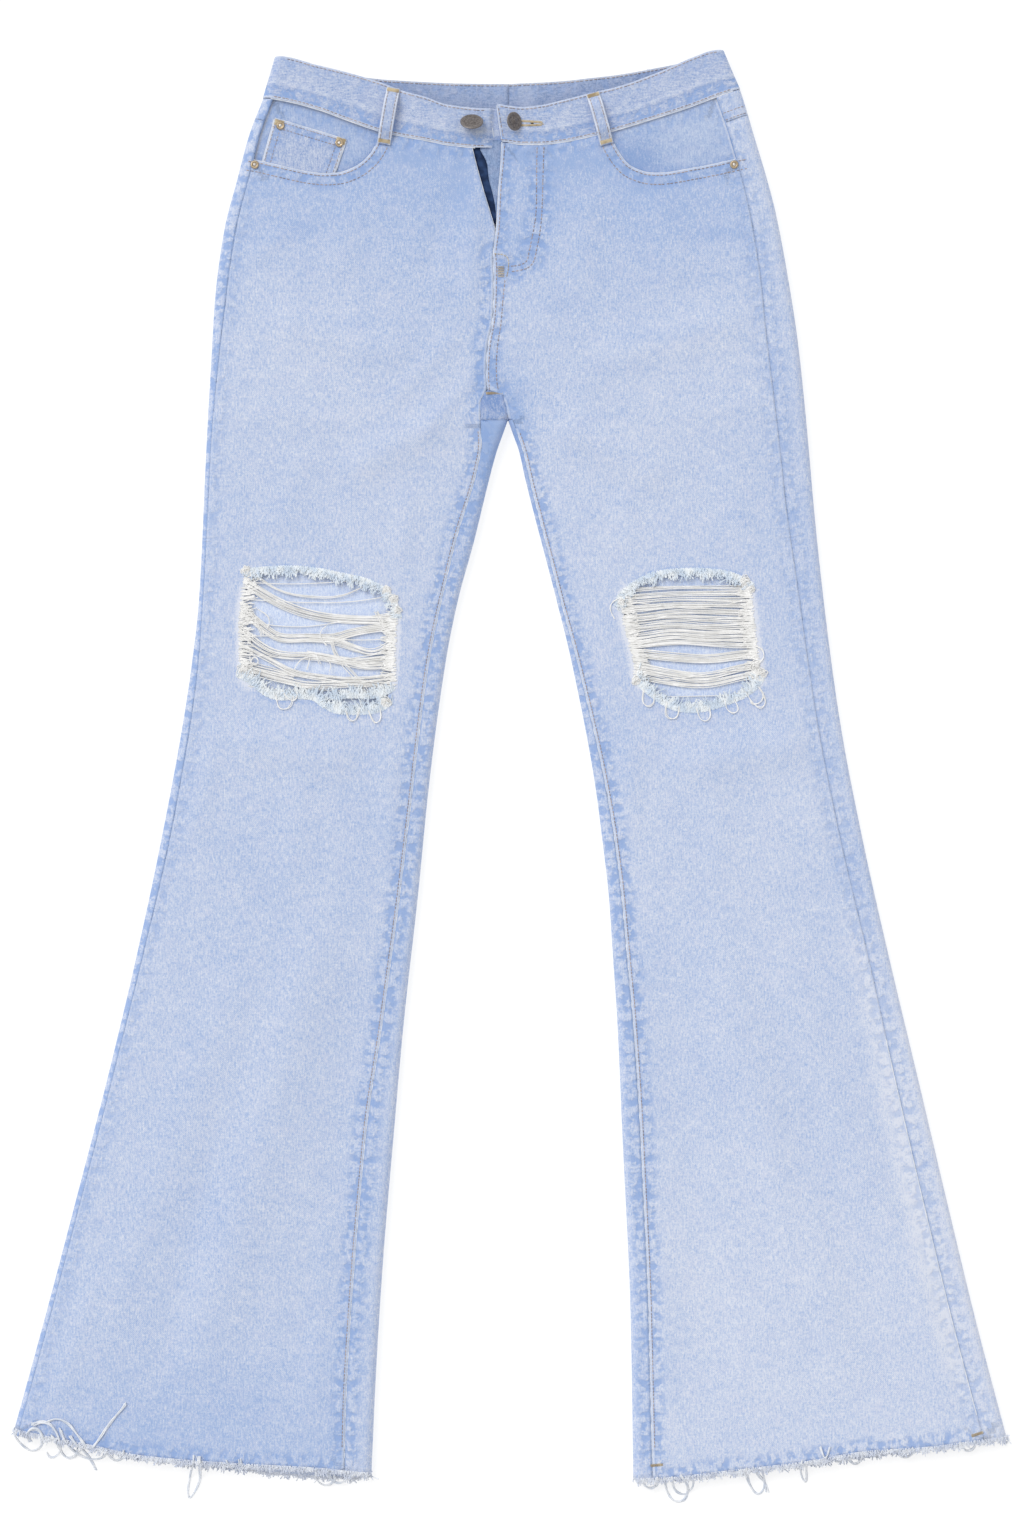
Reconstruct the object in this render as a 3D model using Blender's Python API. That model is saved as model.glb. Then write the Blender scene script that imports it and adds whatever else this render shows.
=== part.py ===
"""Ripped flared jeans, laid flat on their back with the waistband open.

+X points to the viewer's right, so the wearer's right leg lies at -X, +Y points from the hems to
the waist, and +Z points up from the surface that the jeans lie on. Every length is in millimetres
until a point goes into a mesh, which is in metres.

The cloth is one flattened tube for each leg, joined above the crotch. Its lower layer is the back
of the jeans, which lies on the surface and turns up round each side fold. Its upper layer is the
front. A point of the cloth is given by where it lies in plan, x and y, by its layer, and by its
depth below the outer face of the cloth, so all pieces are cut from the same form.
"""

import math

import bmesh
import bpy
import numpy as np
from mathutils import Matrix, Vector

MM = 0.001

# Driving sizes
CLOTH = 1.2  # the denim's wall
THIN = 1.0  # walls of the pieces that lie under the front
SEAM = 0.3  # room between two pieces that are sewn together
CURVED_SEAM = 0.6  # the same where they meet along a curve that their corners only follow
BAND_WALL = 2.4  # the waistband is two layers of denim and their seam allowances
BAND_PROUD = 0.6  # how far the waistband stands out from the cloth beside it
BAND_STEP = 3.0  # the buttoned end of the waistband lies this far under the other end
EXTENSION_X = [-9.6, 8.0, 25.0]  # stations of that end, past the middle of the front
LOOP_WALL = 1.5
LOOP_WIDTH = 10.0
LOOP_BELOW_BAND = 9.0  # each belt loop is sewn down this far below the waistband
LOOP_ARCH = 5.2  # room for a belt under the middle of a front loop
FRINGE = 7.0  # reach of the frayed hems
YARN_SUNK = 0.1  # frayed yarn lies this much below the face of the cloth it comes from
POCKET_WALL = 1.2
SHIELD_SIDE = 16.0  # the fly shield's hidden edge
TAPE_SIDES = (-34.0, 4.0)  # the zip tape's two hidden edges
BUTTON_DIAMETER = 17.0
POST_DIAMETER = 3.4
RIVET_DIAMETER = 6.2
CROWN = 2.6  # the front rises this much from its folded sides to its middle
CROWN_REACH = 32.0
NOTCH_Y = 259.0  # where the two legs part
CENTRE_X, CENTRE_Y = 1.8, 0.0  # middle of the outline, which is the part's origin
HEM_BLEND, TOP_BLEND = 90.0, 85.0  # rows this near the hem or the top seam follow its curve
CUTTER_TOP = 45.0  # cutters rise above every piece

FRONT, BACK = "front", "back"
RIGHT, LEFT = "right", "left"
SIGN = {RIGHT: -1.0, LEFT: 1.0}


class Table:
    """Rows under named columns. Between two rows a value follows a smooth curve that never
    overshoots them, or a straight line where `straight` is set."""

    def __init__(self, columns, rows, straight=False):
        self.columns = columns.split()
        self.rows = np.array(sorted(rows), dtype=float)
        self.straight = straight

    def at(self, column, key):
        keys, values = self.rows[:, 0], self.rows[:, self.columns.index(column)]
        if self.straight or key <= keys[0] or key >= keys[-1]:
            return float(np.interp(key, keys, values))
        row = int(np.searchsorted(keys, key, side="right")) - 1
        steps, slopes = np.diff(keys), np.diff(values) / np.diff(keys)

        def slope_at(k):
            if k == 0 or k == len(keys) - 1:
                return slopes[0] if k == 0 else slopes[-1]
            before, after = slopes[k - 1], slopes[k]
            return 0.0 if before * after <= 0 else 2 * before * after / (before + after)

        t, step = (key - keys[row]) / steps[row], steps[row]
        return float(
            values[row] * (2 * t**3 - 3 * t**2 + 1)
            + values[row + 1] * (3 * t**2 - 2 * t**3)
            + step * slope_at(row) * (t**3 - 2 * t**2 + t)
            + step * slope_at(row + 1) * (t**3 - t**2)
        )


# Outer fold of each leg, and how far in from it the outseam lies on the front.
OUTER = {
    RIGHT: Table("y fold seam_in", [
        (530, -171.5, 7.5), (503, -179, 7.5), (470, -191.5, 8), (437, -200.5, 9),
        (400, -210, 9.2), (348, -217, 8.6), (315, -219, 6.5), (237, -223.5, 3.6),
        (126, -229, 3.2), (81, -234, 5), (37, -240.5, 6), (-52, -257, 6.6), (-141, -276, 5),
        (-229, -297, 4), (-318, -320, 4), (-407, -343.5, 4), (-500, -369, 4),
    ]),
    LEFT: Table("y fold seam_in", [
        (534, 159, 20), (503, 172, 20), (470, 182, 18.5), (437, 192, 19), (414, 198, 19.4),
        (370, 206.5, 20.4), (315, 215, 23), (237, 223, 21.5), (192, 227, 20.5), (126, 234, 18),
        (37, 246, 17), (-52, 263, 16.5), (-141, 283, 15.5), (-229, 304, 17), (-318, 325, 17.5),
        (-407, 346.5, 17.5), (-500, 371, 17.5),
    ]),
}
# Inner fold of each leg below the crotch, and how far in from it the inseam lies.
INNER = {
    RIGHT: Table("y fold seam_in", [
        (259, -0.15, 20.2), (248, -4, 16), (237, -8, 11.5), (215, -14, 10.4), (170, -25, 13.3),
        (126, -37, 11.8), (81, -46, 12), (-7, -58, 11.5), (-96, -67, 13.3), (-185, -77, 15.5),
        (-274, -85, 20.4), (-363, -92.5, 20.7), (-451, -98, 21), (-530, -101.5, 19.6),
    ]),
    LEFT: Table("y fold seam_in", [
        (259, 0.15, 3.2), (248, 4, 3), (237, 8, 3), (215, 13, 3), (126, 36, 2.8), (81, 47, 4),
        (-7, 64, 7.2), (-52, 70, 8.9), (-96, 75, 9.3), (-141, 78, 10.4), (-185, 81, 11.5),
        (-274, 85, 13.2), (-407, 91, 13.1), (-530, 93, 14),
    ]),
}
# Edge of each front above the legs: the open fly, then the front seam down to the crotch. The
# wearer's left front laps over the right one. Below the crotch point the front ends at the inseam.
FRONT_EDGE = {
    RIGHT: Table("y edge", [
        (470, -29), (448, -23.7), (425, -17.3), (407, -11.8), (397, -9.3), (381, -11.2),
        (356, -10.5), (334, -11.2), (311, -15.5), (294, -16.2), (281, -15.7), (273, -20),
        (259, -20.35),
    ], straight=True),
    LEFT: Table("y edge", [
        (470, -4.2), (448, -5.1), (425, -7.1), (407, -7.9), (397, -8.9), (381, -10.9),
        (356, -10.2), (334, -10.9), (311, -15.2), (294, -15.9), (281, -15.4), (277, -3.4),
        (259.6, 0.5), (259, 3.35),
    ], straight=True),
}
# Edge of the fly shield that shows in the open fly, over the zip tape.
FLY = Table("y shield_edge", [
    (458, -20.5), (448, -15.5), (437, -14.1), (425, -11.1), (415, -9.2), (400, -8.2),
])
# The waistband's two edges on each layer. Its seam edge is where the panels end.
BAND = {
    RIGHT: Table("x front_seam front_top back_seam back_top", [
        (-182, 497.2, 528, 497.2, 528), (-168, 495, 527.3, 494.5, 527),
        (-140, 487.7, 520.2, 487, 519.5), (-120, 480.3, 515.2, 483, 516),
        (-94, 471.4, 507.5, 479.5, 512.6), (-79, 468, 501.7, 478.2, 511.6),
        (-60, 464.7, 496.5, 477, 510.5), (-45, 461.6, 491.2, 476.5, 509.8),
        (-17, 459.2, 488.3, 476, 509.2), (0, 459.2, 488.3, 476, 509.1),
    ]),
    LEFT: Table("x front_seam front_top back_seam back_top", [
        (-10, 463.8, 492, 476, 509.1), (0, 463.2, 490.4, 476, 509.1),
        (10, 461.8, 489.2, 476.2, 509.6), (24, 461.8, 490.6, 476.6, 510.2),
        (41, 463.6, 494.5, 478, 511.3), (62, 468, 499.8, 480, 513.6),
        (81, 472.8, 504.3, 482.5, 515.8), (110, 481.7, 514.6, 487.5, 520.9),
        (137, 490.6, 526.3, 495, 526.5), (152, 496.5, 531.5, 499.5, 531),
        (174, 504.5, 533.8, 504.5, 533.8),
    ]),
}
BAND_END = {RIGHT: (-15.6, -14.0), LEFT: (-4.4, -8.1)}  # x of each front end, at its seam and top
# Raw hem of each leg, on the front and on the back.
HEM = {
    RIGHT: Table("x front back", [
        (-368, -488, -488), (-317, -498, -499), (-267, -508, -510), (-198, -513.5, -518),
        (-138, -517, -524), (-112, -520, -524.5), (-101, -521, -521),
    ]),
    LEFT: Table("x front back", [
        (93, -525, -525), (118, -524, -524), (156, -519.5, -521), (216, -512.5, -515),
        (268, -504, -508), (308, -501.5, -503), (344, -497, -498), (369, -494, -494),
    ]),
}
# The yoke seam of the back runs straight from the side folds down to the middle of the back.
YOKE = Table("x seam", [(-185, 481), (0, 418), (182, 486)], straight=True)
# Half the height of the tube at its side folds, and how far its lower layer clears the surface:
# the back pockets lie under the hips, and the back belt loops under the waist.
FORM = Table("y fold_radius lift", [
    (-540, 5.8, 0), (-440, 5.7, 0), (-200, 5.4, 0), (60, 5.4, 0), (200, 5.7, 0), (272, 6, 1.5),
    (430, 6.5, 1.5), (468, 6.5, 2.4), (540, 6.5, 2.4),
])
# The largest creases of the front: soft ridges, or troughs where the height is negative.
CREASES = Table("row start_x start_y end_x end_y half_width height", [
    (1, -188, 338, -62, 300, 15, 1.8),
    (2, 190, 338, 52, 298, 15, 1.8),
    (3, -34, 266, -130, 214, 13, 2.2),
    (4, 28, 262, 126, 206, 13, 2.2),
    (5, -214, 24, -104, 6, 16, 2.4),
    (6, 228, 22, 112, 2, 16, 2.4),
    (7, -128, -70, -236, -474, 22, 2.8),
    (8, 140, -80, 252, -474, 22, 2.8),
    (9, -176, -90, -318, -470, 20, 1.6),
    (10, 186, -100, 330, -470, 20, 1.6),
    (11, -104, -120, -150, -480, 20, -1.4),
    (12, 112, -130, 160, -480, 20, -1.4),
])
# Curved mouth of each front pocket, from the waistband round to the outseam.
POCKET_MOUTH = {
    RIGHT: Table("x y", [
        (-196, 452), (-184, 450), (-172, 447), (-153, 442.5), (-140, 440.3), (-126, 440.3),
        (-116, 443.3), (-106, 449.2), (-98, 459), (-93, 472),
    ]),
    LEFT: Table("x y", [
        (74, 472), (78.4, 461), (86.6, 448.4), (93.2, 444), (103, 440.6), (117, 440.6),
        (134.7, 444), (151, 447), (163.5, 450), (178, 453),
    ]),
}
COIN_POCKET = Table("u left_y right_y left_x right_x", [
    (0, 434.5, 428, -186, -132), (1, 481.7, 465.5, -172.4, -119.1),
], straight=True)
# Rip over each knee, by the corners of its edge, anticlockwise from the lower left.
RIP = {
    RIGHT: [
        (-199, 63), (-188, 58), (-176, 48), (-160, 50), (-143, 49), (-130, 39), (-103, 38),
        (-86, 46), (-82, 85), (-79, 119), (-93, 139), (-124, 148), (-158, 153.5), (-197, 151),
        (-202, 110),
    ],
    LEFT: [
        (92, 62), (101, 54), (122, 41), (149, 41), (176, 50), (190, 63), (184, 90),
        (181, 118), (179.5, 139), (172, 147.5), (140, 152), (105, 149), (80.5, 135),
        (77, 112), (91, 88),
    ],
}
# Gaps between the bundles of weft that still cross each rip.
RIP_GAPS = {
    RIGHT: Table("y middle_x half_length half_width sag", [
        (131, -134, 38, 5.0, 3), (115, -144, 40, 3.6, 4), (99, -140, 44, 3.4, 2),
        (85, -142, 42, 4.2, -3), (66, -140, 38, 5.4, -2),
    ]),
    LEFT: Table("y middle_x half_length half_width sag", [
        (137, 131, 36, 3.2, -1), (87.3, 137.6, 33, 4.6, 2), (75.5, 132.5, 26, 3.6, 2),
        (60.5, 138, 22, 4.6, 2),
    ]),
}
RIP_FRAY = SEAM  # room between the rip's edge and the frayed weft inside it
# Patch pocket of the back, from its point up to its mouth.
BACK_POCKET = Table("row inner_x inner_y outer_x outer_y", [
    (0, 84, 296, 86, 296), (1, 32, 312, 136, 312), (2, 27, 360, 145, 360), (3, 22, 404, 153, 426),
], straight=True)
# Under each pocket mouth lies the facing, down to its low edge, as far in as `inner_x`.
FACING_LOW = 424.0
FACING = {
    RIGHT: {"inner_x": -84.0, "depth": CLOTH + THIN + 2 * SEAM},  # the coin pocket lies between
    LEFT: {"inner_x": 66.0, "depth": CLOTH + SEAM},
}
# Top of each belt loop, and how far its foot lies towards +X of it.
LOOPS = {
    "belt_loop_front_right": (RIGHT, FRONT, -84.4, -7.2),
    "belt_loop_front_left": (LEFT, FRONT, 62.4, 10.6),
    "belt_loop_back_right": (RIGHT, BACK, -104.0, 2.0),
    "belt_loop_back_left": (LEFT, BACK, 108.0, -2.0),
    "belt_loop_back_middle": (LEFT, BACK, 4.0, 0.0),
}
# Button spots, the axis that each leans about and by how many degrees, and rivet spots.
BUTTONS = {
    "button_waist": ((4.2, 477.6), "Y", 38),
    "button_end": ((-26.6, 476.6), "X", -38),
}
BUTTONHOLE = [(1.8, 475.2), (24, 475.8), (26.6, 477.4), (24, 479.0), (1.8, 480.0)]
RIVETS = {
    "rivet_pocket_right": (RIGHT, -187, 447, 0.0),
    "rivet_pocket_left": (LEFT, 167, 447, 0.0),
    "rivet_coin_outer": (RIGHT, -168, 476, CLOTH + SEAM),
    "rivet_coin_inner": (RIGHT, -124.5, 463, CLOTH + SEAM),
}
# Turned profiles: share of the radius, and height in millimetres.
BUTTON_PROFILE = [(0, 0), (0.8, 0), (1, 0.5), (1, 1.1), (0.86, 1.6), (0.4, 1.4), (0.2, 1.9), (0, 2)]
RIVET_PROFILE = [(0, 0), (1, 0), (1, 0.5), (0.72, 1.1), (0.45, 0.9), (0.35, 1.5), (0, 1.7)]

LEG_ROWS = [-505, -450, -395, -340, -285, -230, -175, -120, -65, -10, 45, 100, 150, 195, 230]
HIP_ROWS = [281, 300, 320, 345, 370, 397]
FRONT_TOP, BACK_TOP = 478, 450  # nominal height of the waist seam and of the yoke seam
FRONT_ROWS = LEG_ROWS + [259.0, 259.6, 268, 277] + HIP_ROWS + [416, 435, 456, FRONT_TOP]
BACK_ROWS = LEG_ROWS + [NOTCH_Y, 261.5, 266] + HIP_ROWS + [415, 432, BACK_TOP]
FRONT_SPREAD = [0.0, 0.022, 0.14, 0.3, 0.45, 0.6, 0.75, 0.88, 0.975, 1.0]


# The form of the cloth


def mix(a, b, share):
    return a + (b - a) * share


def ramp(value, start, end):
    """0 at `start`, 1 at `end`, smooth in between."""
    t = min(1.0, max(0.0, (value - start) / (end - start)))
    return t * t * (3 - 2 * t)


def outseam_x(side, y):
    table = OUTER[side]
    return table.at("fold", y) - SIGN[side] * table.at("seam_in", y)


def inseam_x(side, y):
    table = INNER[side]
    return table.at("fold", y) + SIGN[side] * table.at("seam_in", y)


def front_edge_x(side, y):
    if y < NOTCH_Y:
        return inseam_x(side, y) + SIGN[side] * SEAM / 2
    return FRONT_EDGE[side].at("edge", y)


def nearest_fold(side, x, y):
    """The distance in plan to the nearest folded side, and the direction towards it."""
    sign = SIGN[side]
    found = [(sign * (OUTER[side].at("fold", y) - x), sign, 0.0)]
    if y <= NOTCH_Y:
        found.append((sign * (x - INNER[side].at("fold", y)), -sign, 0.0))
    else:
        away = math.hypot(x, y - NOTCH_Y)
        found.append((away, -x / max(away, 1e-6), (NOTCH_Y - y) / max(away, 1e-6)))
    distance, towards_x, towards_y = min(found)
    return max(distance, 0.0), towards_x, towards_y


def crease_height(x, y):
    total = 0.0
    for _, x0, y0, x1, y1, half_width, height in CREASES.rows:
        length = math.hypot(x1 - x0, y1 - y0)
        along = ((x - x0) * (x1 - x0) + (y - y0) * (y1 - y0)) / length
        across = ((x - x0) * (y1 - y0) - (y - y0) * (x1 - x0)) / length
        ends = ramp(along, 0, 0.25 * length) * ramp(length - along, 0, 0.25 * length)
        total += height * ends * math.exp(-((across / half_width) ** 2))
    return total


def cloth(side, x, y, layer, depth=0.0):
    """The point of the tube at (x, y) on a layer, this deep below its outer face."""
    radius, lift = FORM.at("fold_radius", y), FORM.at("lift", y)
    distance, towards_x, towards_y = nearest_fold(side, x, y)
    rise = radius
    if layer == FRONT:
        rise += CROWN * (1 - math.exp(-distance / CROWN_REACH))
        rise += crease_height(x, y) * ramp(distance, 0.5 * radius, 5 * radius)
    inward = max(0.0, 1 - distance / radius)
    upright = math.sqrt(1 - inward * inward)
    height = (rise - depth) * upright
    return Vector((
        x - towards_x * depth * inward,
        y - towards_y * depth * inward,
        lift + radius + (height if layer == FRONT else -height),
    ))


def bend(y, x, low_end, low_curve, high_end, high_curve):
    """A nominal height moved so that the rows near each end follow that end's curve."""
    low = (low_curve(x) - low_end) * ramp(low_end + HEM_BLEND - y, 0, HEM_BLEND)
    high = (high_curve(x) - high_end) * ramp(y, high_end - TOP_BLEND, high_end)
    return y + low + high


# Making the pieces


def centred(point):
    return (point - Vector((CENTRE_X, CENTRE_Y, 0))) * MM


def finish(name, mesh, material, smooth_angle=40):
    """Names the piece and gives it its material and soft shading."""
    mesh.shade_smooth()
    mesh.set_sharp_from_angle(angle=math.radians(smooth_angle))
    mesh.materials.append(material)
    piece = bpy.data.objects.new(name, mesh)
    bpy.context.scene.collection.objects.link(piece)
    piece.parent = jeans
    return piece


def mesh_of(name, shape):
    bmesh.ops.recalc_face_normals(shape, faces=shape.faces)
    mesh = bpy.data.meshes.new(name)
    shape.to_mesh(mesh)
    shape.free()
    return mesh


def wall(name, cells, place, material, thickness=CLOTH, proud=0.0):
    """A closed wall over cells, each the four keys of its corners. `place(key, depth)` gives a
    corner on the outer face and again at the wall's thickness below it."""
    shape = bmesh.new()
    keys = sorted({key for cell in cells for key in cell})
    outer = {key: shape.verts.new(centred(place(key, -proud))) for key in keys}
    inner = {key: shape.verts.new(centred(place(key, thickness - proud))) for key in keys}
    sides = set()
    for cell in cells:
        shape.faces.new([outer[key] for key in cell])
        shape.faces.new([inner[key] for key in reversed(cell)])
        sides |= set(zip(cell, cell[1:] + cell[:1]))
    for start, end in sorted(sides):
        if (end, start) not in sides:
            shape.faces.new([outer[end], outer[start], inner[start], inner[end]])
    return finish(name, mesh_of(name, shape), material)


def grid(rows, columns):
    """The cells of a grid between neighbouring row keys and column keys."""
    return [
        ((low, left), (low, right), (high, right), (high, left))
        for low, high in zip(rows, rows[1:])
        for left, right in zip(columns, columns[1:])
    ]


def prism(name, outline):
    """A hidden upright cutter over a closed outline in plan."""
    shape = bmesh.new()
    corners = [shape.verts.new(centred(Vector((x, y, 0)))) for x, y in outline]
    face = shape.faces.new(corners)
    made = bmesh.ops.extrude_face_region(shape, geom=[face])
    lifted = [item for item in made["geom"] if isinstance(item, bmesh.types.BMVert)]
    bmesh.ops.translate(shape, verts=lifted, vec=(0, 0, CUTTER_TOP * MM))
    cutter = bpy.data.objects.new(name, mesh_of(name, shape))
    bpy.context.scene.collection.objects.link(cutter)
    cutter.hide_render = True
    cutter.display_type = "WIRE"
    cutter.parent = jeans
    return cutter


def boolean(piece, other, operation):
    cut = piece.modifiers.new(other.name, "BOOLEAN")
    cut.operation = operation
    cut.solver = "EXACT"
    cut.object = other


def shrunk(outline, inset):
    """A closed outline moved inwards by `inset` along its corners' bisectors."""
    made = []
    for before, here, after in zip(outline[-1:] + outline[:-1], outline, outline[1:] + outline[:1]):
        way_in = (Vector(here) - Vector(before)).normalized()
        way_out = (Vector(after) - Vector(here)).normalized()
        inwards = Vector((-(way_in + way_out).y, (way_in + way_out).x)).normalized()
        lean = inwards.dot(Vector((-way_in.y, way_in.x)))
        made.append(tuple(Vector(here) + inwards * inset / lean))
    return made


def material(name, colour, roughness, metallic=0.0):
    made = bpy.data.materials.new(name)
    made.use_nodes = True
    shader = made.node_tree.nodes["Principled BSDF"]
    shader.inputs["Base Color"].default_value = (*colour, 1)
    shader.inputs["Roughness"].default_value = roughness
    shader.inputs["Metallic"].default_value = metallic
    return made


# The pieces of the jeans


def turn_distance(radius, degrees):
    """Distance in from the fold of a point this many degrees round it."""
    return radius * (1 - math.cos(math.radians(degrees)))


def front_spot(side, nominal, share):
    """Where a point of the front lies in plan, this share of the way from outseam to inseam."""
    x, y = 0.0, nominal
    for _ in range(3):
        start = outseam_x(side, y) - SIGN[side] * SEAM / 2
        x = mix(start, front_edge_x(side, y), share)
        y = bend(nominal, x, LEG_ROWS[0], lambda at: HEM[side].at("front", at),
                 FRONT_TOP, lambda at: BAND[side].at("front_seam", at) - CURVED_SEAM)
    return x, y


def front_panel(side):
    """One front, with its pocket mouth and the rip over its knee cut out."""

    def place(key, depth):
        return cloth(side, *front_spot(side, *key), FRONT, depth)

    piece = wall(f"front_panel_{side}", grid(FRONT_ROWS, FRONT_SPREAD), place, DENIM)
    boolean(piece, prism(f"cut_rip_{side}", RIP[side]), "DIFFERENCE")
    mouth = [tuple(row) for row in POCKET_MOUTH[side].rows]
    if side == LEFT:
        mouth.reverse()
    inner_x, beyond = mouth[-1][0], SIGN[side] * 230
    corners = [(inner_x, 530), (beyond, 530), (beyond, 452)]
    boolean(piece, prism(f"cut_pocket_{side}", mouth + corners), "DIFFERENCE")
    return piece


def back_column(side, y, column):
    """Where a column of the back lies at this height, and on which layer: the columns run from
    the inseam over the inner fold, across the back, and round the outer fold to the outseam."""
    where, _, step = column.partition("_")
    sign, radius, leg_y = SIGN[side], FORM.at("fold_radius", y), min(y, NOTCH_Y)
    outer_fold, inner_fold = OUTER[side].at("fold", y), INNER[side].at("fold", leg_y)
    layer = FRONT if step.endswith("_up") else BACK
    if where == "middle":
        return mix(inner_fold + sign * radius, outer_fold - sign * radius, float(step)), layer
    seam_in = OUTER[side].at("seam_in", y) if where == "outer" else INNER[side].at("seam_in", leg_y)
    top = min(radius, 0.6 * seam_in)
    inset = {
        "flat": radius, "half": turn_distance(radius, 45), "fold": 0.0,
        "turn_up": 0.3 * top, "top_up": top, "seam_up": seam_in - SEAM / 2,
    }[step]
    x = outer_fold - sign * inset if where == "outer" else inner_fold + sign * inset
    return x, layer


def back_spot(side, nominal, column):
    """Where a point of the back lies in plan, and on which layer."""
    y = nominal
    for _ in range(3):
        x, layer = back_column(side, y, column)
        y = bend(nominal, x, LEG_ROWS[0], lambda at: HEM[side].at(layer, at),
                 BACK_TOP, lambda at: YOKE.at("seam", at) - SEAM / 2)
    return x, y, layer


LOWER_COLUMNS = [
    "inner_fold", "inner_half", "inner_flat", "middle_0.25", "middle_0.5", "middle_0.75",
    "outer_flat", "outer_half", "outer_fold", "outer_turn_up", "outer_top_up", "outer_seam_up",
]
INNER_COLUMNS = ["inner_seam_up", "inner_top_up", "inner_turn_up", "inner_fold"]


def back_panel(side):
    """One back: it lies under the leg, turns up round both folds and ends at the two seams. On
    the wearer's right its point also fills the gap between the fronts above the crotch."""

    def place(key, depth):
        nominal, column = key
        if column.startswith("point_"):
            edge = front_edge_x(LEFT, nominal) - 1.3 * SEAM
            seam = front_edge_x(RIGHT, nominal) + SEAM
            share = {"seam": 0.0, "top": 0.66, "turn": 0.9, "fold": 1.0}[column[6:]]
            return cloth(side, mix(seam, edge, share), nominal, FRONT, depth)
        x, y, layer = back_spot(side, nominal, column)
        return cloth(side, x, y, layer, depth)

    legs = LEG_ROWS + [NOTCH_Y]
    cells = grid(BACK_ROWS, LOWER_COLUMNS) + grid(legs, INNER_COLUMNS)
    if side == RIGHT:
        steps = ["seam", "top", "turn", "fold"]
        low = [(NOTCH_Y, column) for column in INNER_COLUMNS]
        for nominal in (268, 276.6):
            high = [(nominal, "point_" + step) for step in steps]
            for k in range(3):
                cells.append((low[k], low[k + 1], high[k + 1], high[k]))
            low = high
    return wall(f"back_panel_{side}", cells, place, DENIM)


def back_yoke(side):
    """The yoke between the back's seam and the waistband, round the side as far as the outseam."""

    def place(key, depth):
        share, column = key
        y = mix(BACK_TOP, FRONT_TOP, share)
        for _ in range(4):
            x, layer = back_column(side, y, column)
            waist_y = BAND[side].at(layer + "_seam", x) - CURVED_SEAM
            y = mix(YOKE.at("seam", x) + SEAM / 2, waist_y, share)
        return cloth(side, x, y, layer, depth)

    return wall(f"back_yoke_{side}", grid([0.0, 0.5, 1.0], LOWER_COLUMNS), place, DENIM)


def waistband(side):
    """Half the waistband, from its front end round the side to the middle of the back. The right
    half goes on under the left one and carries the button."""
    sign = SIGN[side]
    fronts = [0.0, 0.1, 0.21, 0.32, 0.43, 0.54, 0.66, 0.78, 0.9, 1.0]
    backs = [0.0, 0.2, 0.45, 0.7, 0.9, 1.0]
    stations = [("front", share) for share in fronts]
    stations += [("turn", degrees) for degrees in (45, 0, -45)]
    stations += [("back", share) for share in backs]
    if side == RIGHT:
        stations = [("under", x) for x in reversed(EXTENSION_X)] + stations

    def place(key, depth):
        station, edge = key
        kind, value = stations[station]
        layer = BACK if kind == "back" or (kind == "turn" and value < 0) else FRONT
        column = layer + ("_top" if edge else "_seam")
        fold_y = BAND[side].at(column, sign * 200)
        fold, radius = OUTER[side].at("fold", fold_y), FORM.at("fold_radius", fold_y)
        flat = fold - sign * radius
        if kind == "front":
            x = mix(BAND_END[side][edge], flat, value)
        elif kind == "turn":
            x = fold - sign * turn_distance(radius, abs(value))
        elif kind == "back":
            x = mix(flat, sign * SEAM / 2, value)
        else:
            x = value
            depth += BAND_STEP
        y = BAND[side].at(column, x)
        return cloth(side, x, y, layer, depth)

    piece = wall(f"waistband_{side}", grid(range(len(stations)), [0, 1]), place, DENIM,
                 BAND_WALL, BAND_PROUD)
    if side == LEFT:
        boolean(piece, prism("cut_buttonhole", BUTTONHOLE), "DIFFERENCE")
    return piece


def belt_loop(name):
    """A strip over the waistband: arched on the front, where it is slack, and flat on the back."""
    side, layer, top_x, lean = LOOPS[name]
    top = Vector((top_x, BAND[side].at(layer + "_top", top_x) - 0.5))
    foot_x = top_x + lean
    way = Vector((foot_x, BAND[side].at(layer + "_seam", foot_x) - LOOP_BELOW_BAND)) - top
    across = Vector((-way.y, way.x)).normalized()
    shares = [0, 0.08, 0.2, 0.36, 0.64, 0.8, 0.92, 1] if layer == FRONT else [0, 0.5, 1]

    def seat(x, y):
        """Height of the outer face that the loop lies on."""
        on_band = y > BAND[side].at(layer + "_seam", x)
        return cloth(side, x, y, layer, -BAND_PROUD if on_band else 0.0).z

    def place(key, depth):
        share, edge = key
        x, y = top + way * share + across * LOOP_WIDTH * (edge - 0.5)
        if layer == BACK:
            return Vector((x, y, depth))
        arch = LOOP_ARCH * ramp(min(share, 1 - share), 0.05, 0.3)
        return Vector((x, y, rest + SEAM + LOOP_WALL + arch - depth))

    rest = max(seat(*(top + way * share)) for share in (0.02, 0.5, 0.75, 1))
    return wall(name, grid(shares, [0, 1]), place, DENIM, LOOP_WALL)


def pocket_facing(side):
    """The denim that shows in the pocket mouth, under the front."""

    def place(key, depth):
        rise, share = key
        x, y = 0.0, mix(FACING_LOW, FRONT_TOP, rise)
        for _ in range(3):
            x = mix(outseam_x(side, y) - SIGN[side] * SEAM, FACING[side]["inner_x"], share)
            y = mix(FACING_LOW, BAND[side].at("front_seam", x) - CURVED_SEAM, rise)
        return cloth(side, x, y, FRONT, depth + FACING[side]["depth"])

    cells = grid([0.0, 0.35, 0.7, 1.0], [0.0, 0.25, 0.5, 0.75, 1.0])
    return wall(f"pocket_facing_{side}", cells, place, DENIM, THIN)


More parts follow.
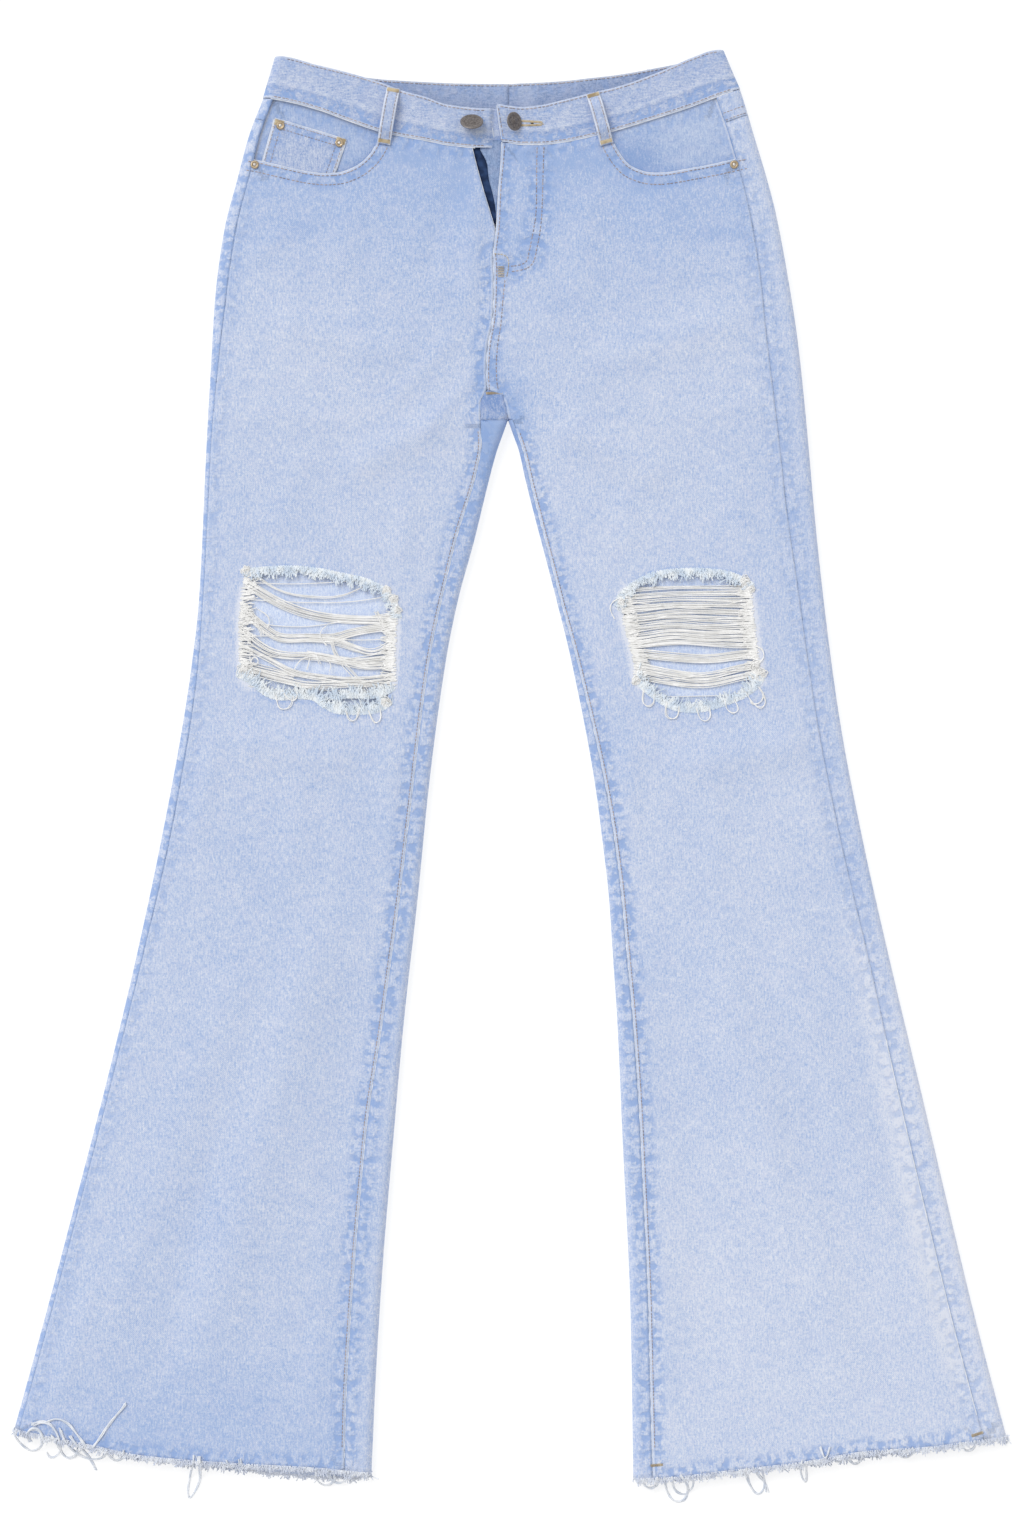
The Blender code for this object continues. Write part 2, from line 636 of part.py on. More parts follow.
def coin_pocket():
    """The small pocket on the right facing. Its lower edge goes down behind the front."""

    def place(key, depth):
        rise, share = key
        x = mix(COIN_POCKET.at("left_x", rise), COIN_POCKET.at("right_x", rise), share)
        y = mix(COIN_POCKET.at("left_y", rise), COIN_POCKET.at("right_y", rise), share)
        return cloth(RIGHT, x, y, FRONT, depth + CLOTH + SEAM)

    return wall("coin_pocket", grid([0.0, 0.5, 1.0], [0.0, 0.33, 0.67, 1.0]), place, DENIM, THIN)


def fly_piece(name, edges, depth_under, made_of):
    """A strip behind the open fly between two edges, each a function of y."""

    def place(key, depth):
        y, edge = key
        return cloth(LEFT if edge else RIGHT, edges[edge](y), y, FRONT, depth + depth_under)

    rows = [384, 397, 407, 418, 430, 444, 457.5]
    return wall(name, grid(rows, [0, 1]), place, made_of, THIN)


def back_pocket(side):
    """A plain patch pocket under the hip, flat on the surface."""

    def place(key, depth):
        row, share = key
        x = mix(BACK_POCKET.at("inner_x", row), BACK_POCKET.at("outer_x", row), share)
        y = mix(BACK_POCKET.at("inner_y", row), BACK_POCKET.at("outer_y", row), share)
        return Vector((SIGN[side] * x, y, depth))

    cells = grid([0, 1, 2, 3], [0.0, 0.5, 1.0])
    return wall(f"back_pocket_{side}", cells, place, DENIM, POCKET_WALL)


def hem_fringe(side):
    """The frayed warp below the raw hem, as one short sleeve of its reach."""
    wrapped = ["outer_seam_up", "outer_top_up", "outer_turn_up", "outer_fold"]
    ring = wrapped[::-1] + FRONT_SPREAD[1:-1] + INNER_COLUMNS + LOWER_COLUMNS[1:-4]
    ring = [column for column in ring if column != "outer_fold"] + ["outer_fold"]

    def place(key, depth):
        reach, number = key
        column = ring[number % len(ring)]
        if isinstance(column, float):
            x, y, layer = *front_spot(side, LEG_ROWS[0], column), FRONT
        else:
            x, y, layer = back_spot(side, LEG_ROWS[0], column)
        return cloth(side, x, y, layer, depth + YARN_SUNK) - Vector((0, SEAM + reach, 0))

    columns = list(range(len(ring))) + [0]
    return wall(f"hem_fringe_{side}", grid([0.0, FRINGE], columns), place, WEFT, THIN)


def rip_threads(side):
    """The frayed edge of a rip and the bundles of bare weft across it, with the gaps between."""
    outline = shrunk(RIP[side], RIP_FRAY)
    xs, ys = [x for x, _ in outline], [y for _, y in outline]
    columns = [mix(min(xs) - 4, max(xs) + 4, k / 6) for k in range(7)]
    rows = [mix(min(ys) - 4, max(ys) + 4, k / 5) for k in range(6)]

    def place(key, depth):
        y, x = key
        return cloth(side, x, y, FRONT, depth + YARN_SUNK)

    piece = wall(f"rip_threads_{side}", grid(rows, columns), place, WEFT, THIN)
    boolean(piece, prism(f"cut_threads_{side}", outline), "INTERSECT")
    for number, (y, middle, half_length, half_width, sag) in enumerate(RIP_GAPS[side].rows):
        angles = [2 * math.pi * k / 12 for k in range(12)]
        gap = [
            (middle + half_length * math.cos(angle),
             y - sag * math.cos(angle) ** 2 + half_width * math.sin(angle))
            for angle in angles
        ]
        boolean(piece, prism(f"cut_gap_{side}_{number}", gap), "DIFFERENCE")
    return piece


def turned(profile, steps=24):
    """A round shape about the Z axis from its (radius, height) profile."""
    shape = bmesh.new()
    points = [shape.verts.new((radius * MM, 0, height * MM)) for radius, height in profile]
    edges = [shape.edges.new(pair) for pair in zip(points, points[1:])]
    bmesh.ops.spin(shape, geom=points + edges, cent=(0, 0, 0), axis=(0, 0, 1),
                   angle=2 * math.pi, steps=steps, use_merge=True)
    bmesh.ops.remove_doubles(shape, verts=shape.verts, dist=1e-6)
    return shape


def seat_height(side, x, y, radius, depth):
    """Height just above the cloth under a round piece."""
    around = [(0, 0)] + [(math.cos(a), math.sin(a)) for a in np.arange(0, 6.2, math.pi / 4)]
    return SEAM + max(
        cloth(side, x + radius * i, y + radius * j, FRONT, depth).z for i, j in around
    )


def rivet(name):
    side, x, y, depth = RIVETS[name]
    radius = RIVET_DIAMETER / 2
    shape = turned([(share * radius, height) for share, height in RIVET_PROFILE], 16)
    piece = finish(name, mesh_of(name, shape), BRONZE)
    piece.location = centred(Vector((x, y, seat_height(side, x, y, radius, depth))))
    return piece


def button(name, seat):
    """A shank button that leans on its post, above `seat`, the height of the cloth it is set in."""
    (x, y), tilt_axis, tilt = BUTTONS[name]
    radius, post_radius = BUTTON_DIAMETER / 2, POST_DIAMETER / 2
    drop = radius * math.sin(math.radians(abs(tilt)))
    height = seat_height(LEFT, x, y, radius, -BAND_PROUD) + drop
    cap = turned([(share * radius, rise) for share, rise in BUTTON_PROFILE], 28)
    bmesh.ops.rotate(cap, verts=cap.verts, cent=(0, 0, 0),
                     matrix=Matrix.Rotation(math.radians(tilt), 3, tilt_axis))
    piece = finish(name, mesh_of(name, cap), BRONZE)
    piece.location = centred(Vector((x, y, height)))
    low, high = seat + SEAM, height + 0.6
    mesh = mesh_of("post_" + name, turned(
        [(0, low), (post_radius, low), (post_radius, high), (0, high)], 16))
    post = bpy.data.objects.new("post_" + name, mesh)
    bpy.context.scene.collection.objects.link(post)
    post.location = centred(Vector((x, y, 0)))
    post.hide_render = True
    post.display_type = "WIRE"
    post.parent = jeans
    boolean(piece, post, "UNION")
    return piece


for old in list(bpy.data.objects):
    bpy.data.objects.remove(old, do_unlink=True)

DENIM = material("denim", (0.50, 0.60, 0.80), 0.9)
WEFT = material("weft", (0.86, 0.85, 0.82), 0.95)
TAPE = material("zip_tape", (0.02, 0.05, 0.14), 0.9)
BRONZE = material("bronze", (0.17, 0.14, 0.11), 0.45, 0.9)

jeans = bpy.data.objects.new("jeans", None)
bpy.context.scene.collection.objects.link(jeans)

for leg in (RIGHT, LEFT):
    back_panel(leg)
    back_yoke(leg)
    back_pocket(leg)
    front_panel(leg)
    pocket_facing(leg)
    waistband(leg)
    hem_fringe(leg)
    rip_threads(leg)
coin_pocket()
for loop in LOOPS:
    belt_loop(loop)
fly_piece("fly_shield", [lambda y: FLY.at("shield_edge", y), lambda y: SHIELD_SIDE],
          CLOTH + SEAM, DENIM)
fly_piece("zip_tape", [lambda y: TAPE_SIDES[0], lambda y: TAPE_SIDES[1]],
          CLOTH + THIN + 2 * SEAM, TAPE)
for spot in RIVETS:
    rivet(spot)
button("button_waist", cloth(RIGHT, *BUTTONS["button_waist"][0], FRONT, BAND_STEP - BAND_PROUD).z)
button("button_end", cloth(RIGHT, *BUTTONS["button_end"][0], FRONT, -BAND_PROUD).z)
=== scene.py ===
# %% [markdown]
# Ripped flared jeans, laid flat. The solids of every cut piece are loaded first as a fixed frame, and
# each sheet of cloth below is made on the form of its solid. So a sheet never has to be fitted by eye,
# and the jeans keep their measured size.

# %% Load the frame
import math

import bmesh
import bpy
import numpy as np
from mathutils import Matrix, Vector


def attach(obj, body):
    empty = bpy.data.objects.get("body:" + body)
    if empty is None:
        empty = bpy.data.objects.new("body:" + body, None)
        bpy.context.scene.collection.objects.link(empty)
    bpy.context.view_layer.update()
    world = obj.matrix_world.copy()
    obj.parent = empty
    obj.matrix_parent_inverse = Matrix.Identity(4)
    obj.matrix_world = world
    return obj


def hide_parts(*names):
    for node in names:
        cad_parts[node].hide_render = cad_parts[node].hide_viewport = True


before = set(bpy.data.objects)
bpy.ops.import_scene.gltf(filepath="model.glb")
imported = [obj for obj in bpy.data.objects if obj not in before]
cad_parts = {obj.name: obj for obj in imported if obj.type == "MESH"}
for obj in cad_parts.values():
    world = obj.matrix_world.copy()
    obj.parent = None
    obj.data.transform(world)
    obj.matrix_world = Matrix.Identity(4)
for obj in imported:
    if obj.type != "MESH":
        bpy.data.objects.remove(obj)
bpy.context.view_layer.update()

# %% [markdown]
# The real jeans are cut from a paper pattern: every edge is a curve that is smooth from end to end. A
# table with a few rows and a curve through them does the same, and one table serves the cloth, its
# stitches and its frayed yarn. All lengths are in millimetres until a point goes into a mesh.

# %% Tables of the pattern
MM = 0.001
FRONT, BACK = "front", "back"
RIGHT, LEFT = "right", "left"
SIGN = {RIGHT: -1.0, LEFT: 1.0}
CLOTH, THIN, SEAM = 1.2, 1.0, 0.3
BAND_WALL, BAND_PROUD, BAND_STEP = 2.4, 0.6, 3.0
NOTCH_Y = 259.0
CENTRE_X = 1.8


class Table:
    """Rows under named columns, joined by a smooth curve or, where `straight` is set, by lines."""

    def __init__(self, columns, rows, straight=False):
        self.columns, self.rows = columns.split(), np.array(sorted(rows), dtype=float)
        self.straight = straight

    def at(self, column, key):
        keys, values = self.rows[:, 0], self.rows[:, self.columns.index(column)]
        key = np.asarray(key, dtype=float)
        if self.straight:
            return np.interp(key, keys, values)
        steps = np.diff(keys)
        slopes = np.diff(values) / steps
        product, total = slopes[:-1] * slopes[1:], slopes[:-1] + slopes[1:]
        inner = np.where(product > 0, 2 * product / np.where(total == 0, 1, total), 0.0)
        tangents = np.concatenate([slopes[:1], inner, slopes[-1:]])
        row = np.clip(np.searchsorted(keys, key, side="right") - 1, 0, len(steps) - 1)
        t, step = np.clip((key - keys[row]) / steps[row], 0, 1), steps[row]
        return (values[row] * (2 * t**3 - 3 * t**2 + 1) + values[row + 1] * (3 * t**2 - 2 * t**3)
                + step * tangents[row] * (t**3 - 2 * t**2 + t)
                + step * tangents[row + 1] * (t**3 - t**2))


OUTER = {
    RIGHT: Table("y fold seam_in", [
        (530, -171.5, 7.5), (503, -179, 7.5), (470, -191.5, 8), (437, -200.5, 9),
        (400, -210, 9.2), (348, -217, 8.6), (315, -219, 6.5), (237, -223.5, 3.6),
        (126, -229, 3.2), (81, -234, 5), (37, -240.5, 6), (-52, -257, 6.6), (-141, -276, 5),
        (-229, -297, 4), (-318, -320, 4), (-407, -343.5, 4), (-500, -369, 4),
    ]),
    LEFT: Table("y fold seam_in", [
        (534, 159, 20), (503, 172, 20), (470, 182, 18.5), (437, 192, 19), (414, 198, 19.4),
        (370, 206.5, 20.4), (315, 215, 23), (237, 223, 21.5), (192, 227, 20.5), (126, 234, 18),
        (37, 246, 17), (-52, 263, 16.5), (-141, 283, 15.5), (-229, 304, 17), (-318, 325, 17.5),
        (-407, 346.5, 17.5), (-500, 371, 17.5),
    ]),
}
INNER = {
    RIGHT: Table("y fold seam_in", [
        (259, -0.15, 20.2), (248, -4, 16), (237, -8, 11.5), (215, -14, 10.4), (170, -25, 13.3),
        (126, -37, 11.8), (81, -46, 12), (-7, -58, 11.5), (-96, -67, 13.3), (-185, -77, 15.5),
        (-274, -85, 20.4), (-363, -92.5, 20.7), (-451, -98, 21), (-530, -101.5, 19.6),
    ]),
    LEFT: Table("y fold seam_in", [
        (259, 0.15, 3.2), (248, 4, 3), (237, 8, 3), (215, 13, 3), (126, 36, 2.8), (81, 47, 4),
        (-7, 64, 7.2), (-52, 70, 8.9), (-96, 75, 9.3), (-141, 78, 10.4), (-185, 81, 11.5),
        (-274, 85, 13.2), (-407, 91, 13.1), (-530, 93, 14),
    ]),
}
FRONT_EDGE = {
    RIGHT: Table("y edge", [
        (470, -29), (448, -23.7), (425, -17.3), (407, -11.8), (397, -9.3), (381, -11.2),
        (356, -10.5), (334, -11.2), (311, -15.5), (294, -16.2), (281, -15.7), (273, -20),
        (259, -20.35),
    ]),
    LEFT: Table("y edge", [
        (470, -4.2), (448, -5.1), (425, -7.1), (407, -7.9), (397, -8.9), (381, -10.9),
        (356, -10.2), (334, -10.9), (311, -15.2), (294, -15.9), (281, -15.4), (277, -3.4),
        (259.6, 0.5), (259, 3.35),
    ], straight=True),
}
FLY = Table("y shield_edge", [
    (458, -20.5), (448, -15.5), (437, -14.1), (425, -11.1), (415, -9.2), (400, -8.2),
])
BAND = {
    RIGHT: Table("x front_seam front_top back_seam back_top", [
        (-182, 497.2, 528, 497.2, 528), (-168, 495, 527.3, 494.5, 527),
        (-140, 487.7, 520.2, 487, 519.5), (-120, 480.3, 515.2, 483, 516),
        (-94, 471.4, 507.5, 479.5, 512.6), (-79, 468, 501.7, 478.2, 511.6),
        (-60, 464.7, 496.5, 477, 510.5), (-45, 461.6, 491.2, 476.5, 509.8),
        (-17, 459.2, 488.3, 476, 509.2), (0, 459.2, 488.3, 476, 509.1),
    ]),
    LEFT: Table("x front_seam front_top back_seam back_top", [
        (-10, 463.8, 492, 476, 509.1), (0, 463.2, 490.4, 476, 509.1),
        (10, 461.8, 489.2, 476.2, 509.6), (24, 461.8, 490.6, 476.6, 510.2),
        (41, 463.6, 494.5, 478, 511.3), (62, 468, 499.8, 480, 513.6),
        (81, 472.8, 504.3, 482.5, 515.8), (110, 481.7, 514.6, 487.5, 520.9),
        (137, 490.6, 526.3, 495, 526.5), (152, 496.5, 531.5, 499.5, 531),
        (174, 504.5, 533.8, 504.5, 533.8),
    ]),
}
BAND_END = {RIGHT: (-15.6, -14.0), LEFT: (-4.4, -8.1)}
HEM = {
    RIGHT: Table("x front back", [
        (-368, -488, -488), (-317, -498, -499), (-267, -508, -510), (-198, -513.5, -518),
        (-138, -517, -524), (-112, -520, -524.5), (-101, -521, -521),
    ]),
    LEFT: Table("x front back", [
        (93, -525, -525), (118, -524, -524), (156, -519.5, -521), (216, -512.5, -515),
        (268, -504, -508), (308, -501.5, -503), (344, -497, -498), (369, -494, -494),
    ]),
}
YOKE = Table("x seam", [(-185, 481), (0, 418), (182, 486)], straight=True)
FORM = Table("y fold_radius lift", [
    (-540, 5.8, 0), (-440, 5.7, 0), (-200, 5.4, 0), (60, 5.4, 0), (200, 5.7, 0), (272, 6, 1.5),
    (430, 6.5, 1.5), (468, 6.5, 2.4), (540, 6.5, 2.4),
])
POCKET_MOUTH = {
    RIGHT: [(-93, 472), (-98, 459), (-106, 449.2), (-116, 443.3), (-126, 440.3), (-140, 440.3),
            (-153, 442.5), (-172, 447), (-184, 450), (-196, 452)],
    LEFT: [(74, 472), (78.4, 461), (86.6, 448.4), (93.2, 444), (103, 440.6), (117, 440.6),
           (134.7, 444), (151, 447), (163.5, 450), (178, 453)],
}
RIP = {
    RIGHT: [
        (-196, 66), (-187, 61), (-175, 52), (-160, 53.5), (-143, 52.5), (-129, 43), (-103, 42),
        (-88, 49.5), (-85, 85), (-83, 117), (-94, 134.5), (-124, 143.5), (-158, 149), (-193, 147),
        (-197, 110),
    ],
    LEFT: [
        (94.5, 66), (103, 57.5), (123, 45), (149, 44.5), (175, 53), (187, 65), (183, 90),
        (179.5, 118), (178, 135), (171, 143.5), (140, 148), (106, 145), (84, 132), (86, 112),
        (92, 90), (95, 78),
    ],
}
KNEE = {RIGHT: (-140, 96, 60, 56), LEFT: (135, 96, 54, 54)}  # middle in x and y, half width, half length
FRONT_LOW, FRONT_TOP, BACK_TOP = -505.0, 478.0, 450.0
print("leg width at the hem in mm:",
      {s: round(float(abs(OUTER[s].at("fold", -500) - INNER[s].at("fold", -500)))) for s in SIGN})

# %% [markdown]
# Laid flat, the cloth is a flattened tube: the back lies on the table, turns up round each side fold,
# and the front lies on top with a slight crown. Soft creases run down the legs and out from the
# crotch. Each crease is given as a ridge or a trough with its own length, width and height,
# because random noise makes cloth look crumpled all over, which these jeans are not.

# %% The form of the cloth
CROWN, CROWN_REACH = 2.6, 32.0
KNEE_RISE, KNEE_CROWN = 7.2, 0.8
CREASES = {  # from x and y, to x and y, half width, height
    FRONT: [
        (-188, 338, -62, 300, 15, 1.8), (190, 338, 52, 298, 15, 1.8),
        (-34, 266, -130, 214, 13, 2.2), (28, 262, 126, 206, 13, 2.2),
        (-214, 24, -104, 6, 16, 2.4), (228, 22, 112, 2, 16, 2.4),
        (-128, -70, -236, -474, 22, 2.8), (140, -80, 252, -474, 22, 2.8),
        (-176, -90, -318, -470, 20, 1.6), (186, -100, 330, -470, 20, 1.6),
        (-104, -120, -150, -480, 20, -1.4), (112, -130, 160, -480, 20, -1.4),
        (-22, 448, -30, 330, 8, 1.3), (-40, 440, -62, 352, 9, -0.9),
        (-30, 330, -96, 262, 7, 0.8), (-18, 300, -74, 236, 5, 0.7),
        (14, 352, 74, 268, 8, 1.1), (6, 300, 62, 232, 5, 0.7),
        (60, 436, 52, 340, 11, 0.9), (100, 430, 128, 352, 13, 0.8),
        (-110, 430, -128, 356, 12, 0.8), (-160, 400, -196, 372, 7, 0.7),
        (-150, 240, -172, 168, 12, 0.9), (-72, 214, -80, 150, 9, 0.8),
        (160, 232, 176, 168, 12, 0.9), (84, 210, 92, 160, 9, 0.8),
        (-210, 44, -236, -60, 10, 0.9), (-88, 30, -84, -70, 9, 0.9),
        (92, 34, 88, -60, 9, 0.9), (200, 38, 238, -70, 11, 0.9),
        (-150, 20, -164, -110, 12, 0.7), (150, 22, 158, -96, 12, 0.8),
        (-212, -250, -262, -476, 12, -0.9), (-128, -300, -150, -500, 9, 0.8),
        (204, -240, 232, -470, 12, -0.9), (292, -330, 330, -486, 9, 0.9),
        (110, -330, 118, -500, 8, 0.7), (-300, -360, -338, -480, 8, 0.8),
        (-192, 268, -110, 254, 8, 0.5), (196, 272, 120, 262, 8, 0.5),
    ],
    BACK: [
        (-182, 282, -58, 246, 9, -1.0), (178, 286, 60, 240, 9, -0.9),
        (-206, 118, -92, 104, 8, -1.1), (210, 124, 96, 98, 9, -1.0),
        (-196, 84, -120, 66, 6, -0.7), (200, 80, 124, 70, 6, -0.8),
        (-150, -60, -226, -420, 12, -1.2), (152, -90, 236, -440, 12, -1.2),
        (-110, -150, -134, -470, 10, -0.8), (120, -130, 138, -450, 10, -0.8),
    ],
}


def mix(a, b, share):
    return a + (b - a) * share


def even(count):
    """Evenly spaced shares from 0 to 1."""
    return np.linspace(0, 1, count)


def ramp(value, start, end):
    """0 at `start`, 1 at `end`, smooth in between."""
    t = np.clip((value - start) / (end - start), 0.0, 1.0)
    return t * t * (3 - 2 * t)


def soft_spot(x, y, at_x, at_y, reach_x, reach_y):
    """1 in the middle of a round spot, fading out over its two reaches."""
    return np.exp(-((x - at_x) / reach_x) ** 2 - ((y - at_y) / reach_y) ** 2)


def all_on(x, upper=True):
    """The layer of points that all lie on the same one."""
    return np.full(np.shape(x), upper)


def line_across(table, column, xs, rise=0.0):
    """Points of a curve that runs across the jeans."""
    return [(x, float(table.at(column, x)) + rise) for x in xs]


def line_along(curve, ys):
    """Points of a curve that runs along a leg. `curve(y)` gives its x."""
    return [(float(curve(y)), y) for y in ys]


def outseam_x(side, y):
    return OUTER[side].at("fold", y) - SIGN[side] * OUTER[side].at("seam_in", y)


def inseam_x(side, y):
    return INNER[side].at("fold", y) + SIGN[side] * INNER[side].at("seam_in", y)


def front_edge_x(side, y):
    y = np.asarray(y, dtype=float)
    low = inseam_x(side, np.minimum(y, NOTCH_Y)) + SIGN[side] * SEAM / 2
    return np.where(y < NOTCH_Y, low, FRONT_EDGE[side].at("edge", np.maximum(y, NOTCH_Y)))


def crease_height(x, y, layer):
    total = np.zeros(np.shape(x))
    for x0, y0, x1, y1, half_width, height in CREASES[layer]:
        length = math.hypot(x1 - x0, y1 - y0)
        along = ((x - x0) * (x1 - x0) + (y - y0) * (y1 - y0)) / length
        across = ((x - x0) * (y1 - y0) - (y - y0) * (x1 - x0)) / length
        ends = ramp(along, 0, 0.25 * length) * ramp(length - along, 0, 0.25 * length)
        total = total + height * ends * np.exp(-((across / half_width) ** 2))
    return total


def knee_bend(side, x, y, crown):
    """The cloth behind each knee keeps the bend of the leg, and lies close below the rip."""
    middle_x, middle_y, half_x, half_y = KNEE[side]
    away = (((x - middle_x) / half_x) ** 4 + ((y - middle_y) / half_y) ** 4) ** 0.25
    return (KNEE_RISE + KNEE_CROWN * crown) * ramp(away, 1.5, 0.95)


def fold_distances(side, x, y):
    """Distance in plan to the outer fold and to the inner one, or to the notch above it."""
    outer = np.maximum(SIGN[side] * (OUTER[side].at("fold", y) - x), 0.0)
    leg = np.maximum(SIGN[side] * (x - INNER[side].at("fold", np.minimum(y, NOTCH_Y))), 0.0)
    return outer, np.where(y <= NOTCH_Y, leg, np.hypot(x, y - NOTCH_Y))


def on_cloth(side, x, y, upper, depth=0.0):
    """Points of the tube in millimetres, this deep below its outer face. `upper` is true where a
    point lies on the front layer."""
    x, y = np.asarray(x, dtype=float), np.asarray(y, dtype=float)
    upper = np.broadcast_to(upper, x.shape)
    radius, lift = FORM.at("fold_radius", y), FORM.at("lift", y)
    outer, inner = fold_distances(side, x, y)
    distance = np.minimum(outer, inner)
    crown = CROWN * (1 - np.exp(-outer / CROWN_REACH)) * (1 - np.exp(-inner / CROWN_REACH))
    clear = ramp(distance, 0.5 * radius, 5 * radius)
    rise = radius + np.where(upper, crown + crease_height(x, y, FRONT) * clear,
                             crease_height(x, y, BACK) * clear
                             - knee_bend(side, x, y, crown) * ramp(distance, 0.5 * radius, 3 * radius))
    inward = np.clip(1 - distance / radius, 0, 1)
    height = (rise - depth) * np.sqrt(1 - inward**2)
    at_outer, leg = outer <= inner, y <= NOTCH_Y
    away = np.maximum(inner, 1e-6)
    towards_x = np.where(at_outer, SIGN[side], np.where(leg, -SIGN[side], -x / away))
    towards_y = np.where(at_outer | leg, 0.0, (NOTCH_Y - y) / away)
    return np.stack([x - towards_x * depth * inward, y - towards_y * depth * inward,
                     lift + radius + np.where(upper, height, -height)], axis=-1)


def to_row(points):
    """Millimetres of the pattern to metres of the frame."""
    return (np.asarray(points) - [CENTRE_X, 0, 0]) * MM


print("height of the front over a knee in mm:",
      round(float(on_cloth(RIGHT, [-140.0], [60.0], True)[0, 2]), 1))

# %% [markdown]
# Every sheet starts as a flat grid from `create_grid`. The grid's own x and y, from 0 to 1, say which
# column and row a corner is, so the grid can be cut first and laid on the form afterwards. An edge
# inside a sheet, such as a knee rip, is made by deleting the cells inside the outline and pulling the
# corners that are left onto it. Solidify gives the wall at the end.

# %% A sheet of cloth from a grid
def nearest_on(outline, x, y, closed=False):
    """For each point: the distance to a line, the length along it, and the nearest spot."""
    points = np.array(list(outline) + ([outline[0]] if closed else []), dtype=float)
    start, way = points[:-1], np.diff(points, axis=0)
    lengths = np.hypot(way[:, 0], way[:, 1])
    runs = np.concatenate([[0], np.cumsum(lengths)[:-1]])
    best = [np.full(np.shape(x), 1e9)] + [np.zeros(np.shape(x)) for _ in range(3)]
    for (x0, y0), (dx, dy), length, run in zip(start, way, lengths, runs):
        t = np.clip(((x - x0) * dx + (y - y0) * dy) / length**2, 0, 1)
        spot_x, spot_y = x0 + t * dx, y0 + t * dy
        distance = np.hypot(x - spot_x, y - spot_y)
        closer = distance < best[0]
        best = [np.where(closer, new, old)
                for new, old in zip((distance, run + t * length, spot_x, spot_y), best)]
    return best


def distance_to(outline, x, y, closed=False):
    return nearest_on(outline, x, y, closed)[0]


def is_inside(outline, x, y):
    found = np.zeros(np.shape(x), dtype=bool)
    for (x0, y0), (x1, y1) in zip(outline, outline[1:] + outline[:1]):
        crosses = (y0 > y) != (y1 > y)
        at = x0 + (y - y0) * (x1 - x0) / (y1 - y0 if y1 != y0 else 1e-9)
        found ^= crosses & (x < at)
    return found


def smooth_line(points, rounds=2, closed=False):
    """The line with its corners cut, which leaves a soft curve."""
    for _ in range(rounds):
        pairs = list(zip(points, points[1:] + (points[:1] if closed else [])))
        cut = [p for a, b in pairs for p in
               ((mix(a[0], b[0], 0.25), mix(a[1], b[1], 0.25)),
                (mix(a[0], b[0], 0.75), mix(a[1], b[1], 0.75)))]
        points = cut if closed else [points[0]] + cut[1:-1] + [points[-1]]
    return points


def spaced(points, step):
    """Points evenly spaced along a line, about `step` apart."""
    points = np.array(points, dtype=float)
    runs = np.concatenate([[0], np.cumsum(np.hypot(*np.diff(points[:, :2], axis=0).T))])
    count = max(2, int(round(runs[-1] / step)) + 1)
    at = np.linspace(0, runs[-1], count)
    return np.stack([np.interp(at, runs, column) for column in points.T], axis=-1)


def keep_on(piece, node, slot):
    """Files a piece: it rides on the jeans and stands for its solid if it has one. Its `slot` is not
    used.
    """
    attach(piece, "root")
    if node:
        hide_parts(node)
    return piece


def placed(name, data):
    """An object in the scene, at the origin."""
    made = bpy.data.objects.new(name, data)
    bpy.context.scene.collection.objects.link(made)
    return made


def object_of(name, mesh, finish):
    mesh.shade_smooth()
    mesh.materials.append(finish)
    return placed(name, mesh)


def mesh_of(name, shape):
    """The finished mesh of a bmesh."""
    mesh = bpy.data.meshes.new(name)
    shape.to_mesh(mesh)
    shape.free()
    return mesh


CUT = {}


